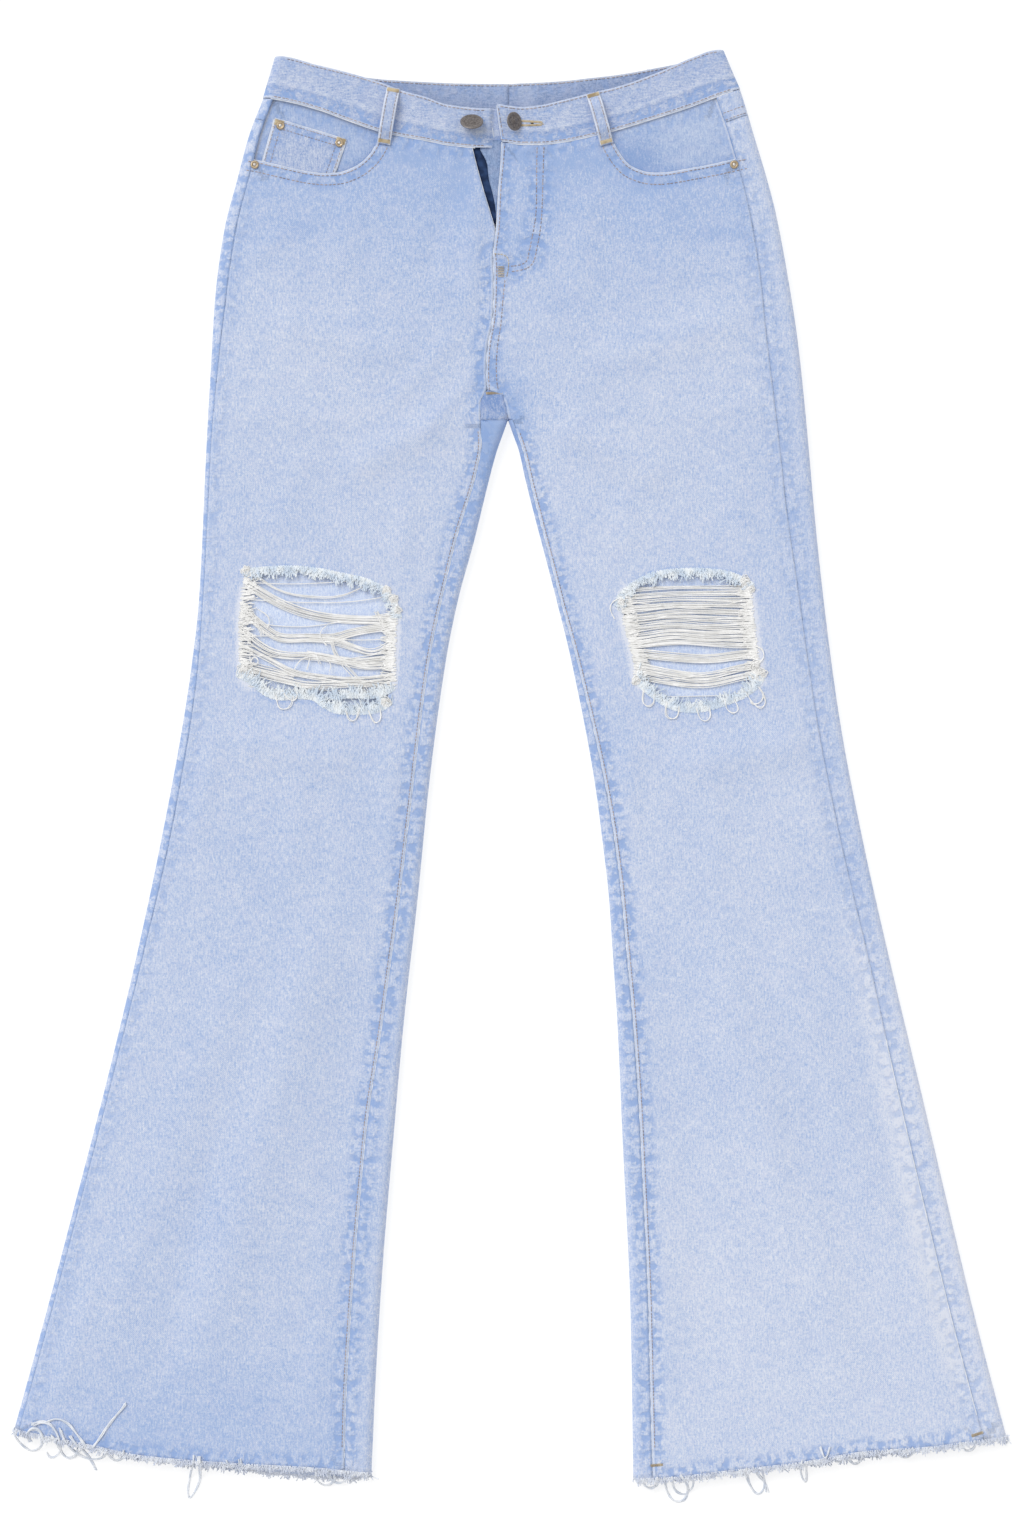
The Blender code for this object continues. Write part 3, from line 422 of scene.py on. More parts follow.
def cloth_sheet(name, node, columns, rows, spot, place, marks, finish, wall, cuts=(), without=None,
                thread=None, inner=None, slot="denim"):
    """A sheet over grid columns and rows. `spot(column, row)` gives x, y and the layer in plan,
    `place(x, y, upper, depth, column, row)` the points, and `marks` the attributes. Cells inside
    the `cuts`, and those whose middle `without(column, row)` picks, are left out."""
    columns, rows = np.asarray(columns, dtype=float), np.asarray(rows, dtype=float)
    shape = bmesh.new()
    bmesh.ops.create_grid(shape, x_segments=len(columns) - 1, y_segments=len(rows) - 1, size=1)

    def keys():
        shape.verts.index_update()
        flat = np.array([v.co[:2] for v in shape.verts])
        i = np.rint((flat[:, 0] + 1) / 2 * (len(columns) - 1)).astype(int)
        j = np.rint((flat[:, 1] + 1) / 2 * (len(rows) - 1)).astype(int)
        return columns[i], rows[j]

    if without:
        u, v = keys()
        faces = [face for face in shape.faces
                 if without(np.mean([u[c.index] for c in face.verts]),
                            np.mean([v[c.index] for c in face.verts]))]
        bmesh.ops.delete(shape, geom=faces, context="FACES")
    for outline in cuts:
        x, y, upper = spot(*keys())
        gone = is_inside(outline, x, y) & upper
        faces = [face for face in shape.faces if all(gone[v.index] for v in face.verts)]
        bmesh.ops.delete(shape, geom=faces, context="FACES")
    u, v = keys()
    x, y, upper = spot(u, v)
    for outline in cuts:
        inside = is_inside(outline, x, y) & upper
        _, _, near_x, near_y = nearest_on(outline, x, y, closed=True)
        x, y = np.where(inside, near_x, x), np.where(inside, near_y, y)
    mesh = mesh_of(name, shape)
    points = place(x, y, upper, 0.0, u, v)
    mesh.vertices.foreach_set("co", to_row(points).ravel())
    mesh.update()
    normals = np.empty(len(points) * 3)
    mesh.vertices.foreach_get("normal", normals)
    outwards = points - place(x, y, upper, 1.0, u, v)
    if (normals.reshape(-1, 3) * outwards).sum() < 0:
        mesh.flip_normals()
    for key, values in marks(x, y, upper, u, v).items():
        mesh.attributes.new(key, "FLOAT", "POINT").data.foreach_set(
            "value", np.broadcast_to(values, x.shape).astype(np.float32))
    corner = np.empty(len(mesh.loops), dtype=np.int32)
    mesh.loops.foreach_get("vertex_index", corner)
    weave = np.stack(thread(x, y, upper) if thread else (x, y), axis=-1) * MM
    mesh.uv_layers.new(name="thread").data.foreach_set("uv", weave[corner].ravel())
    u, v = np.meshgrid(np.append(columns[::4], columns[-1]), np.append(rows[::4], rows[-1]))
    whole = place(*spot(u.ravel(), v.ravel()), 0.0, u.ravel(), v.ravel()).reshape(*u.shape, 3)
    CUT[name] = [float(np.linalg.norm(np.diff(whole, axis=way), axis=-1).sum(axis=way).max()) * MM
                 for way in (1, 0)]
    piece = object_of(name, mesh, finish)
    solid = piece.modifiers.new("wall", "SOLIDIFY")
    solid.thickness, solid.offset = wall * MM, -1
    if inner:
        mesh.materials.append(inner)
        solid.material_offset = 1
    print(f"{name}: {len(mesh.polygons)} cells")
    return keep_on(piece, node, slot)

# %% [markdown]
# Real denim has blue warp threads along the leg and white weft across it, and stone washing takes the
# dye off unevenly. So the finish is built from layers: large washed patches, small clouds, slubs that
# run along the warp, and the grain of the weave. One node group makes them, and every denim finish
# uses it with its own two blues. A picture of cloth could also be wrapped on, but it would repeat.

# %% Short names for making nodes
SOCKETS = {"value": "NodeSocketFloat", "colour": "NodeSocketColor", "vector": "NodeSocketVector"}


def feed(tree, node, inputs):
    """Gives each input a value, or a link from a socket."""
    for name, value in inputs.items():
        if isinstance(value, bpy.types.NodeSocket):
            tree.links.new(value, node.inputs[name])
        else:
            node.inputs[name].default_value = value


def add(tree, kind, inputs=None, **settings):
    """A shader node with these inputs and settings."""
    made = tree.nodes.new("ShaderNode" + kind)
    for name, value in settings.items():
        setattr(made, name, value)
    feed(tree, made, inputs or {})
    return made


def calc(tree, operation, *values, clamp=False):
    made = add(tree, "Math", operation=operation, inputs=dict(enumerate(values)))
    made.use_clamp = clamp
    return made.outputs[0]


def times(tree, a, b):
    return calc(tree, "MULTIPLY", a, b)


def minus(tree, a, b):
    return calc(tree, "SUBTRACT", a, b)


def times_plus(tree, a, b, more, clamp=False):
    return calc(tree, "MULTIPLY_ADD", a, b, more, clamp=clamp)


def blended(tree, share, first, second):
    return add(tree, "Mix", data_type="RGBA", inputs={0: share, 6: first, 7: second}).outputs[2]


def eased(tree, value, start, end, low=0.0, high=1.0):
    """`low` where value is at `start`, `high` where it is at `end`, smooth in between."""
    return add(tree, "MapRange", interpolation_type="SMOOTHSTEP", inputs={
        "Value": value, "From Min": start, "From Max": end, "To Min": low, "To Max": high,
    }).outputs[0]


def noise(tree, place, scale, detail=2.0, rough=0.5):
    return add(tree, "TexNoise", inputs={
        "Vector": place, "Scale": scale, "Detail": detail, "Roughness": rough}).outputs[0]


def scaled(tree, place, x, y, z=1.0):
    return add(tree, "Mapping", inputs={"Vector": place, "Scale": (x, y, z)}).outputs[0]


def bump(tree, height, strength, distance, over=None):
    """A bumped normal, on top of another one where `over` gives it."""
    inputs = {"Height": height, "Strength": strength, "Distance": distance}
    if over is not None:
        inputs["Normal"] = over
    return add(tree, "Bump", inputs=inputs).outputs[0]


def group(name, takes, gives):
    tree = bpy.data.node_groups.new(name, "ShaderNodeTree")
    for socket, kind, default in takes:
        made = tree.interface.new_socket(socket, in_out="INPUT", socket_type=SOCKETS[kind])
        if default is not None:
            made.default_value = default
    for socket, kind in gives:
        tree.interface.new_socket(socket, in_out="OUTPUT", socket_type=SOCKETS[kind])
    return tree, tree.nodes.new("NodeGroupInput").outputs, tree.nodes.new("NodeGroupOutput").inputs


def use(tree, made, inputs):
    return add(tree, "Group", node_tree=made, inputs=inputs).outputs


# %% The washed denim group
WASH_REACH = 1.7  # how far past its two usual blues the wash of a finish may go
washed, takes, gives = group("washed denim", [
    ("Place", "vector", None), ("Thread", "vector", None),
    ("Deep", "colour", (0.40, 0.52, 0.78, 1)), ("Pale", "colour", (0.66, 0.71, 0.84, 1)),
    ("Wear", "value", 0.0),
], [("Colour", "colour"), ("Height", "value")])
patches = noise(washed, takes["Place"], 7.0, 3.0, 0.55)
clouds = noise(washed, takes["Place"], 62.0, 5.0, 0.66)
flecks = noise(washed, takes["Place"], 360.0, 3.0, 0.6)
slubs = noise(washed, scaled(washed, takes["Thread"], 800, 190), 1.0, 3.0, 0.6)
grain = noise(washed, scaled(washed, takes["Thread"], 1000, 760), 1.0, 2.0, 0.7)
share = 0.5
for layer, strength in ((patches, 0.4), (clouds, 0.5), (flecks, 0.8), (slubs, 1.5), (grain, 1.75)):
    share = times_plus(washed, minus(washed, layer, 0.5), strength, share)
# The wear and shade input also deepens the blue where a sheet's marks paint shade.
share = times_plus(washed, takes["Wear"], 1 / WASH_REACH, share, clamp=True)
cloth_colour = blended(washed, share, takes["Deep"], takes["Pale"])
lilac = eased(washed, noise(washed, takes["Place"], 130.0, 4.0, 0.7), 0.42, 0.70, 0.0, 0.18)
cloth_colour = blended(washed, lilac, cloth_colour, (0.625, 0.640, 0.800, 1))
twill = add(washed, "TexWave", wave_type="BANDS", bands_direction="DIAGONAL", inputs={
    "Vector": scaled(washed, takes["Thread"], 430, 430, 0), "Scale": 1.0, "Distortion": 1.2,
    "Detail": 1.0}).outputs[1]
weave = times_plus(washed, twill, 0.30, times(washed, grain, 0.5))
washed.links.new(cloth_colour, gives["Colour"])
washed.links.new(times_plus(washed, slubs, 0.6, weave), gives["Height"])
print("washed denim:", len(washed.nodes), "nodes")

# %% [markdown]
# Seams wear in their own way. The doubled edge rubs white, and the layers beside it pucker, so that
# the wash reaches only the high spots and leaves a row of darker blue blotches. The thin dark line
# beside the white edge is painted shade, where the raised edge steps down to the next layer. Each
# sheet carries the distance to its nearest seam and the length along that seam, and this group turns
# them into masks.

# %% The worn seam group, with its painted shade line
seam_wear_and_shade, takes, gives = group("worn seam", [
    ("Edge", "value", 60.0), ("Run", "value", 0.0), ("Rope", "value", 0.0), ("Bleach", "value", 0.0),
], [("White", "value"), ("Dark", "value"), ("Height", "value")])
along = add(seam_wear_and_shade, "CombineXYZ", inputs={
    0: times(seam_wear_and_shade, takes["Run"], 0.17),
    1: times(seam_wear_and_shade, takes["Edge"], 0.13)}).outputs[0]
fine = add(seam_wear_and_shade, "CombineXYZ", inputs={
    0: times(seam_wear_and_shade, takes["Run"], 0.6), 1: takes["Edge"]}).outputs[0]
uneven = minus(seam_wear_and_shade, noise(seam_wear_and_shade, fine, 1.0, 2.0, 0.6), 0.5)
edge = times_plus(seam_wear_and_shade, uneven, 2.2, takes["Edge"])
white = times(seam_wear_and_shade, eased(seam_wear_and_shade, edge, 1.0, 2.6, 1.0, 0.0), takes["Bleach"])
blotch = eased(seam_wear_and_shade, noise(seam_wear_and_shade, along, 1.0, 2.0, 0.6), 0.44, 0.60)
blotch = times(seam_wear_and_shade, blotch, eased(seam_wear_and_shade, edge, 6.0, 14.0, 1.0, 0.0))
# Painted shade: a thin dark line beside the white edge, where the raised seam edge steps down.
beside = times(seam_wear_and_shade, takes["Bleach"], 3.2)
off = calc(seam_wear_and_shade, "ABSOLUTE", minus(seam_wear_and_shade, edge, beside))
line = times(seam_wear_and_shade, eased(seam_wear_and_shade, off, 0.5, 2.2, 1.0, 0.0), 0.55)
dark = times(seam_wear_and_shade, calc(seam_wear_and_shade, "ADD", blotch, line, clamp=True), takes["Rope"])
seam_wear_and_shade.links.new(white, gives["White"])
seam_wear_and_shade.links.new(times(seam_wear_and_shade, dark, minus(seam_wear_and_shade, 1.0, white)),
                    gives["Dark"])
seam_wear_and_shade.links.new(minus(seam_wear_and_shade, white, blotch), gives["Height"])
print("worn seam:", len(seam_wear_and_shade.nodes), "nodes")


# %% Denim finishes
def shader_of(name):
    made = bpy.data.materials.new(name)
    made.use_nodes = True
    return made, made.node_tree, made.node_tree.nodes["Principled BSDF"]


def attribute(tree, name):
    return add(tree, "Attribute", attribute_type="GEOMETRY", attribute_name=name).outputs["Fac"]


# The deep blue of roped seams, which also paints the shade line beside each white edge.
ROPE_AND_SHADE_BLUE, SEAM_WHITE = (0.27, 0.40, 0.70, 1), (0.76, 0.80, 0.89, 1)


def denim(name, deep, pale):
    """A denim finish whose wash runs from one blue to the other."""
    made, tree, shader = shader_of(name)
    middle, half = (np.array(pale) + deep) / 2, (np.array(pale) - deep) / 2
    deep, pale = (np.clip(middle + way * WASH_REACH * half, 0, 1).tolist() for way in (-1, 1))
    place = add(tree, "TexCoord").outputs["Object"]
    thread = add(tree, "UVMap", uv_map="thread").outputs[0]
    cloth = use(tree, washed, {"Place": place, "Thread": thread, "Deep": deep, "Pale": pale,
                               "Wear": attribute(tree, "wear")})
    seam = use(tree, seam_wear_and_shade, {key: attribute(tree, key.lower())
                                 for key in ("Edge", "Run", "Rope", "Bleach")})
    dark = times(tree, seam["Dark"], 0.88)
    colour = blended(tree, dark, cloth["Colour"], ROPE_AND_SHADE_BLUE)
    colour = blended(tree, times(tree, seam["White"], 0.8), colour, SEAM_WHITE)
    weave = bump(tree, cloth["Height"], 0.55, 0.0005)
    feed(tree, shader, {
        "Base Color": colour, "Normal": bump(tree, seam["Height"], 0.5, 0.0006, weave),
        "Roughness": eased(tree, cloth["Height"], 0.3, 0.9, 0.84, 0.97),
        "Specular IOR Level": 0.25, "Sheen Weight": 0.12, "Sheen Roughness": 0.5,
    })
    return made


PALE_BLUE = denim("washed denim", (0.412, 0.516, 0.748, 1), (0.640, 0.695, 0.830, 1))
BAND_BLUE = denim("waistband denim", (0.290, 0.390, 0.640, 1), (0.540, 0.605, 0.760, 1))
INSIDE_BLUE = denim("inside of the waistband", (0.235, 0.320, 0.530, 1), (0.39, 0.47, 0.66, 1))
POCKET_BLUE = denim("pocket facing denim", (0.320, 0.430, 0.680, 1), (0.49, 0.58, 0.77, 1))
SHIELD_BLUE = denim("fly shield denim", (0.145, 0.215, 0.400, 1), (0.27, 0.37, 0.58, 1))
# The inside of the back is paler, as the inside of denim is, and lighter still as painted light that
# lifts the shade in the gaps under the knee rips.
LIGHTENED_LINING_BLUE = denim("inside of the cloth", (0.52, 0.625, 0.86, 1), (0.74, 0.81, 0.95, 1))
print("finishes so far:", len(bpy.data.materials))


# %% [markdown]
# The other finishes are small: ivory weft yarn, frayed warp that has lost its blue, tan topstitching
# thread, dark zip tape, and antique bronze with a brighter ring where it rubs. Each still gets its own
# unevenness, because yarn twists and metal wears.

# %% Yarn, tape and metal finishes
def yarn(name, low, high, twist=2600.0, rough=0.95):
    """A spun yarn: two tones that change from strand to strand, and the ridges of its twist."""
    made, tree, shader = shader_of(name)
    place = add(tree, "TexCoord").outputs["Object"]
    tone = eased(tree, noise(tree, place, 130.0, 2.0, 0.6), 0.36, 0.64)
    ridges = add(tree, "TexWave", bands_direction="DIAGONAL", inputs={
        "Vector": place, "Scale": twist, "Distortion": 2.0}).outputs[1]
    feed(tree, shader, {
        "Base Color": blended(tree, tone, low, high), "Normal": bump(tree, ridges, 0.2, 0.0001),
        "Roughness": eased(tree, tone, 0.0, 1.0, rough, rough - 0.08),
        "Specular IOR Level": 0.2, "Sheen Weight": 0.2,
    })
    return made


def metal(name, low, high, ring, radius):
    """Antique metal. It brightens from the share `ring` of its radius to the share `radius`."""
    made, tree, shader = shader_of(name)
    place = add(tree, "TexCoord").outputs["Object"]
    tone = eased(tree, noise(tree, place, 900.0, 4.0, 0.65), 0.35, 0.68)
    rub = eased(tree, attribute(tree, "rim"), ring, radius)
    colour = blended(tree, times(tree, rub, 0.6), blended(tree, tone, low, high), high)
    feed(tree, shader, {
        "Base Color": colour, "Normal": bump(tree, tone, 0.25, 0.0002), "Metallic": 0.85,
        "Roughness": eased(tree, tone, 0.0, 1.0, 0.48, 0.34),
    })
    return made


IVORY = yarn("ivory weft yarn", (0.89, 0.885, 0.87, 1), (0.98, 0.975, 0.965, 1))
FRAYED = yarn("frayed warp yarn", (0.70, 0.79, 0.90, 1), (0.90, 0.94, 0.97, 1))
TAN = yarn("topstitching thread", (0.31, 0.26, 0.27, 1), (0.52, 0.43, 0.40, 1), 5200.0, 0.8)
GOLD = yarn("bartack thread", (0.46, 0.36, 0.22, 1), (0.70, 0.60, 0.42, 1), 5200.0, 0.8)
WHITE = yarn("bleached cloth edge", (0.70, 0.75, 0.84, 1), (0.88, 0.90, 0.94, 1))
NAVY = yarn("zip tape", (0.010, 0.024, 0.070, 1), (0.026, 0.060, 0.160, 1), 3000.0, 0.9)
BRONZE = metal("antique bronze", (0.110, 0.098, 0.094, 1), (0.26, 0.235, 0.225, 1), 0.62, 1.0)
BRASS = metal("rivet brass", (0.30, 0.22, 0.13, 1), (0.56, 0.45, 0.31, 1), 0.4, 0.9)
NICKEL = metal("rivet centre", (0.58, 0.56, 0.54, 1), (0.84, 0.82, 0.80, 1), 0.5, 1.0)
print("finishes so far:", len(bpy.data.materials))

# %% [markdown]
# The front is cut wide at the thigh and flared from the knee. Its rows follow the hem at one end and
# the waist seam at the other, so the last row of cells is the edge itself. The rows between are about
# 3 mm apart, which is fine enough for the small puckers beside a seam to be real waves in the mesh.
# Bump alone would vanish at a low angle.

# %% Where the rows and columns lie
HEM_BLEND, TOP_BLEND, CURVED_SEAM = 90.0, 85.0, 0.6
PUCKER, PUCKER_REACH, PUCKER_WAVE = 0.42, 7.5, 12.5


def bend(y, x, low_curve, high_end, high_curve):
    """A row's y, moved so that the rows near each end follow that end's curve. A row's x and y
    depend on each other, so those who call this repeat it until both settle."""
    low = (low_curve(x) - FRONT_LOW) * ramp(FRONT_LOW + HEM_BLEND - y, 0, HEM_BLEND)
    return y + low + (high_curve(x) - high_end) * ramp(y, high_end - TOP_BLEND, high_end)


def front_spot(side):
    def spot(share, row):
        y = row
        for _ in range(4):
            start = outseam_x(side, y) - SIGN[side] * SEAM / 2
            x = mix(start, front_edge_x(side, y), share)
            y = bend(row, x, lambda at: HEM[side].at("front", at),
                     FRONT_TOP, lambda at: BAND[side].at("front_seam", at) - CURVED_SEAM)
        return x, y, all_on(x)
    return spot


def back_x(side, wrap, y):
    """The back runs from the inseam (0) over the inner fold (1) and under the leg to the outer
    fold (2), and up round it to the outseam (3)."""
    leg = np.minimum(y, NOTCH_Y)
    inner, outer = INNER[side].at("fold", leg), OUTER[side].at("fold", y)
    under = mix(inner, outer, np.clip(wrap - 1, 0, 1))
    up_inner = INNER[side].at("seam_in", leg) * np.clip(1 - wrap, 0, 1) ** 2
    up_outer = OUTER[side].at("seam_in", y) * np.clip(wrap - 2, 0, 1) ** 2
    return under + SIGN[side] * (up_inner - up_outer), (wrap < 1) | (wrap > 2)


def by_layer(table, x, upper):
    """A curve that both layers have, read on the one that each point lies on."""
    return lambda name: np.where(upper, table.at("front" + name, x), table.at("back" + name, x))


def back_spot(side):
    def spot(wrap, row):
        y = row
        for _ in range(4):
            x, upper = back_x(side, wrap, y)
            y = bend(row, x, lambda at: by_layer(HEM[side], at, upper)(""),
                     BACK_TOP, lambda at: YOKE.at("seam", at) - SEAM / 2)
        return x, y, upper
    return spot


def plain_place(side, under=0.0):
    """Points on the form, this far under its face."""
    return lambda x, y, upper, depth, u, v: on_cloth(side, x, y, upper, depth + under)


FAR = 60.0  # further from a seam than any of its wear
NO_SEAM = {"edge": FAR, "run": 0.0, "rope": 0.0, "bleach": 0.0}


def seam_marks(x, y, lines):
    """Attributes of the nearest seam. Each line is (points, rope, bleach)."""
    edge, run, rope, bleach = (np.full(x.shape, value) for value in NO_SEAM.values())
    for points, line_rope, line_bleach in lines:
        distance, along, _, _ = nearest_on(points, x, y)
        closer = distance < edge
        edge, run = np.where(closer, distance, edge), np.where(closer, along, run)
        rope = np.where(closer, line_rope, rope)
        bleach = np.where(closer, line_bleach, bleach)
    return {"edge": edge, "run": run, "rope": rope, "bleach": bleach}


def pucker_of(marks, phase=0.0):
    """Small waves that run out from a sewn seam and die away."""
    waves = np.sin(marks["run"] * 2 * np.pi / PUCKER_WAVE + 0.9 * np.sin(marks["run"] / 23 + phase))
    fade = np.exp(-((marks["edge"] - 4) / PUCKER_REACH) ** 2)
    return PUCKER * waves * fade * marks["rope"]


def puckered(side, lines, under=0.0, phase=0.0):
    """Points on the form with the puckers of its seams, flat where the cloth turns over."""
    def place(x, y, upper, depth, u, v):
        wave = pucker_of(seam_marks(x, y, lines), phase)
        outer, inner = fold_distances(side, x, y)
        wave = wave * ramp(np.minimum(outer, inner), 1.0, 7.0) * upper
        return on_cloth(side, x, y, upper, depth + under) + np.stack(
            [0 * wave, 0 * wave, wave], axis=-1)
    return place


def closed_seam_lines(side):
    """The seams on the front of one leg as lines in plan, with how roped and bleached each is."""
    sign, ys = SIGN[side], np.arange(-525.0, 502.0, 8.0)
    out_top, fly_top = (500, 381) if side == RIGHT else (506, 470)
    return {
        "out": line_along(lambda y: outseam_x(side, y), ys[ys < out_top]),
        "in": line_along(lambda y: front_edge_x(side, y), ys[ys < NOTCH_Y]),
        "waist": line_across(BAND[side], "front_seam", np.arange(0, 205, 8.0) * sign),
        "hem": line_across(HEM[side], "front", np.arange(90, 372, 8.0) * sign),
        "fly": line_along(lambda y: FRONT_EDGE[side].at("edge", y), np.arange(260.0, fly_top, 6.0)),
        "mouth": smooth_line(POCKET_MOUTH[side]),
    }


SEAM_LINES = {side: closed_seam_lines(side) for side in SIGN}
print("seam lines of a leg:", list(SEAM_LINES[RIGHT]))


# %% The two fronts
FRONT_COLUMNS = np.concatenate([np.linspace(0, 0.06, 8), np.linspace(0.06, 0.94, 60)[1:-1],
                                np.linspace(0.94, 1, 8)])
FRONT_ROWS = np.concatenate([np.linspace(FRONT_LOW, NOTCH_Y, 236), [259.6],
                             np.linspace(262, 277, 6), np.linspace(281, FRONT_TOP, 64)])
SOFT_RIP = {side: smooth_line(RIP[side], 2, closed=True) for side in SIGN}


def pocket_cut(side):
    sign, mouth = SIGN[side], smooth_line(POCKET_MOUTH[side])
    return mouth[::-1] + [(mouth[0][0], 530), (sign * 230, 530), (sign * 230, mouth[-1][1])]


FLY_MIDDLE = smooth_line([(24, 461), (23.5, 441), (23.2, 411), (21, 396.5), (18.4, 383),
                          (16.8, 375.6), (12.2, 371.5), (5, 370)])


def front_lines(side):
    lines = SEAM_LINES[side]
    strength = {"out": (0.45, 0.2), "in": (0.9, 0.55), "waist": (0.9, 0.0), "hem": (0.9, 0.0),
                "fly": (1.0, 0.5), "mouth": (1.0, 0.5)}
    seams = [(lines[name], *how) for name, how in strength.items()]
    if side == LEFT:
        seams.append((FLY_MIDDLE, 1.0, 0.0))
    return seams


# In the last column, some spots are deep blue that the wash left, as the whiskers on the thighs, and
# those at the fly's box and round the crotch are painted shade.
DEEP_AND_SHADED_SPOTS = [  # middle in x and y, reach in x and y, and how deep the wash left the blue
    (0, 264, 15, 22, 1.0), (-17, 286, 6, 15, 0.8), (-4, 372, 6, 7, 0.6), (-12, 300, 9, 16, 0.5),
    (12, 455, 15, 6, 0.9), (58, 449, 18, 7, 0.5), (34, 436, 7, 15, 0.4), (13, 384, 8, 12, 0.6),
    (-36, 430, 10, 20, 0.35), (-70, 452, 14, 6, 0.5), (100, 430, 16, 5, 0.45),
    (-44, 352, 12, 7, 0.25), (40, 344, 14, 6, 0.25), (-150, 400, 22, 6, 0.3), (150, 396, 22, 6, 0.25),
    (-120, 330, 40, 5, 0.2), (110, 322, 44, 5, 0.2), (-96, 302, 34, 4, 0.2), (92, 296, 34, 4, 0.2),
]
RIP_MIDDLE = 98.0
# Below 0 the blue is deeper. The rip arch shade is a deeper blue line with painted shade beside the
# fringe.
FRONT_WEAR_AND_SHADE = {  # how far the wash went past its usual blue, or how much blue it left below 0
    side: {"rip sides": 2.0, "rip arches": -0.7, "outseam": 0.85, "thigh": 0.12, "hips": -0.6,
           "calf": calf, "hem": hem}
    for side, calf, hem in ((RIGHT, -0.04, -0.34), (LEFT, 0.14, 0.1))}


def front_marks(side):
    def marks(x, y, upper, u, v):
        rip = distance_to(SOFT_RIP[side], x, y, closed=True)
        fold = distance_to(SEAM_LINES[side]["out"], x, y)
        from_middle = np.abs(y - RIP_MIDDLE)
        places = {
            "rip sides": ramp(rip, 6, 1) * ramp(from_middle, 42, 32),
            # Painted shade over a deeper blue, in a thin line just outside the rip's top and bottom
            # edges.
            "rip arches": np.exp(-((rip - 1.6) / 1.6) ** 2) * ramp(from_middle, 36, 46),
            "outseam": ramp(fold, 22, 4) * ramp(y, -60, -220) * ramp(y, -480, -420) * (side == LEFT),
            "thigh": soft_spot(x, y, SIGN[side] * 120, 240, 60, 110),
            "hips": ramp(y, 300, 470),
            "calf": ramp(y, -150, -350),
            "hem": ramp(y, -380, -500),
        }
        wear = sum(FRONT_WEAR_AND_SHADE[side][place] * share for place, share in places.items())
        deep = sum(depth * soft_spot(x, y, *spot) for *spot, depth in DEEP_AND_SHADED_SPOTS)
        return seam_marks(x, y, front_lines(side)) | {"wear": wear - deep}
    return marks


fronts = {}
for side in (RIGHT, LEFT):
    fronts[side] = cloth_sheet(
        f"front_cloth_{side}", f"front_panel_{side}", FRONT_COLUMNS, FRONT_ROWS, front_spot(side),
        puckered(side, front_lines(side)), front_marks(side), PALE_BLUE, CLOTH,
        cuts=(SOFT_RIP[side], pocket_cut(side)))

# %% [markdown]
# The back of these jeans lies face down. It is wider than the front, so it turns up round both folds
# and its two seams lie a little way in on the upper side, most of all along the wearer's left leg.
# Two halves glued along the outline would show a seam on the very edge, which flat jeans never have.
# So the columns of this grid run the whole way round, packed close where the cloth turns.

# %% The two backs
UNDER = np.concatenate([[0.001, 0.004, 0.009, 0.016, 0.026, 0.04, 0.062], np.linspace(0.09, 0.91, 36),
                        [0.938, 0.96, 0.974, 0.984, 0.991, 0.996, 0.999]])
TURNED = even(12)
BACK_COLUMNS = np.concatenate([TURNED, 1 + UNDER, 2 + TURNED])
BACK_ROWS = np.concatenate([np.linspace(FRONT_LOW, NOTCH_Y, 170), np.linspace(262, BACK_TOP, 46)])
CENTRE_SEAM = [(0, 259), (0, 505)]


def back_lines(side, upper):
    lines = SEAM_LINES[side]
    if upper:
        rope = 0.9 if side == RIGHT else 0.55
        return [(lines["out"], rope, 0.0), (lines["in"], 0.9, 0.0), (lines["hem"], 0.0, 0.4)]
    yoke = line_across(YOKE, "seam", (-185, 0, 182))
    return [(yoke, 0.7, 0.8), (CENTRE_SEAM, 0.7, 0.8)]


BACK_WEAR, CROTCH_SHADE, FOLD_SHADE, RUBBED_WEAR = -0.04, -0.95, -0.8, 0.5


def two_layer_marks(side):
    def marks(x, y, upper, u, v):
        top = seam_marks(x, y, back_lines(side, True))
        low = seam_marks(x, y, back_lines(side, False))
        # Painted shade over a deeper blue: the upper back darkens towards the crotch and in the folds
        # beside it.
        crotch = ramp(y, 130, 250) * np.exp(-(x / 46) ** 2) * upper
        folds = ramp(y, 205, 250) * np.exp(-((x + 9) / 15) ** 2) * upper
        rubbed = ramp(y, -60, -220) * upper * (x > 200)
        return {key: np.where(upper, top[key], low[key]) for key in top} | {
            "wear": BACK_WEAR + CROTCH_SHADE * crotch + FOLD_SHADE * folds + RUBBED_WEAR * rubbed}
    return marks


backs, yokes = {}, {}
for side in (RIGHT, LEFT):
    backs[side] = cloth_sheet(
        f"back_cloth_{side}", f"back_panel_{side}", BACK_COLUMNS, BACK_ROWS, back_spot(side),
        puckered(side, back_lines(side, True), phase=1.3), two_layer_marks(side), PALE_BLUE, CLOTH,
        without=lambda wrap, row: wrap < 1 and row > NOTCH_Y, inner=LIGHTENED_LINING_BLUE)


# %% The point of the right back above the crotch
POINT_LOW, POINT_HIGH = 258.6, 280.7


def point_spot(share, row):
    right, left = (FRONT_EDGE[side].at("edge", row) for side in (RIGHT, LEFT))
    return mix(right + SEAM, left - 1.3 * SEAM, share), row, all_on(row)


def point_shade_marks(x, y, upper, share, row):
    # Painted shadow under the bartack: the point darkens from its low end up to the bartack, on top of
    # the darker band denim.
    return NO_SEAM | {"wear": -0.24 - 0.75 * ramp(y, 259, 279) ** 1.3}


point = cloth_sheet(
    "back_point", "back_panel_right", even(14), np.linspace(POINT_LOW, POINT_HIGH, 12),
    point_spot, plain_place(RIGHT), point_shade_marks, BAND_BLUE, CLOTH)


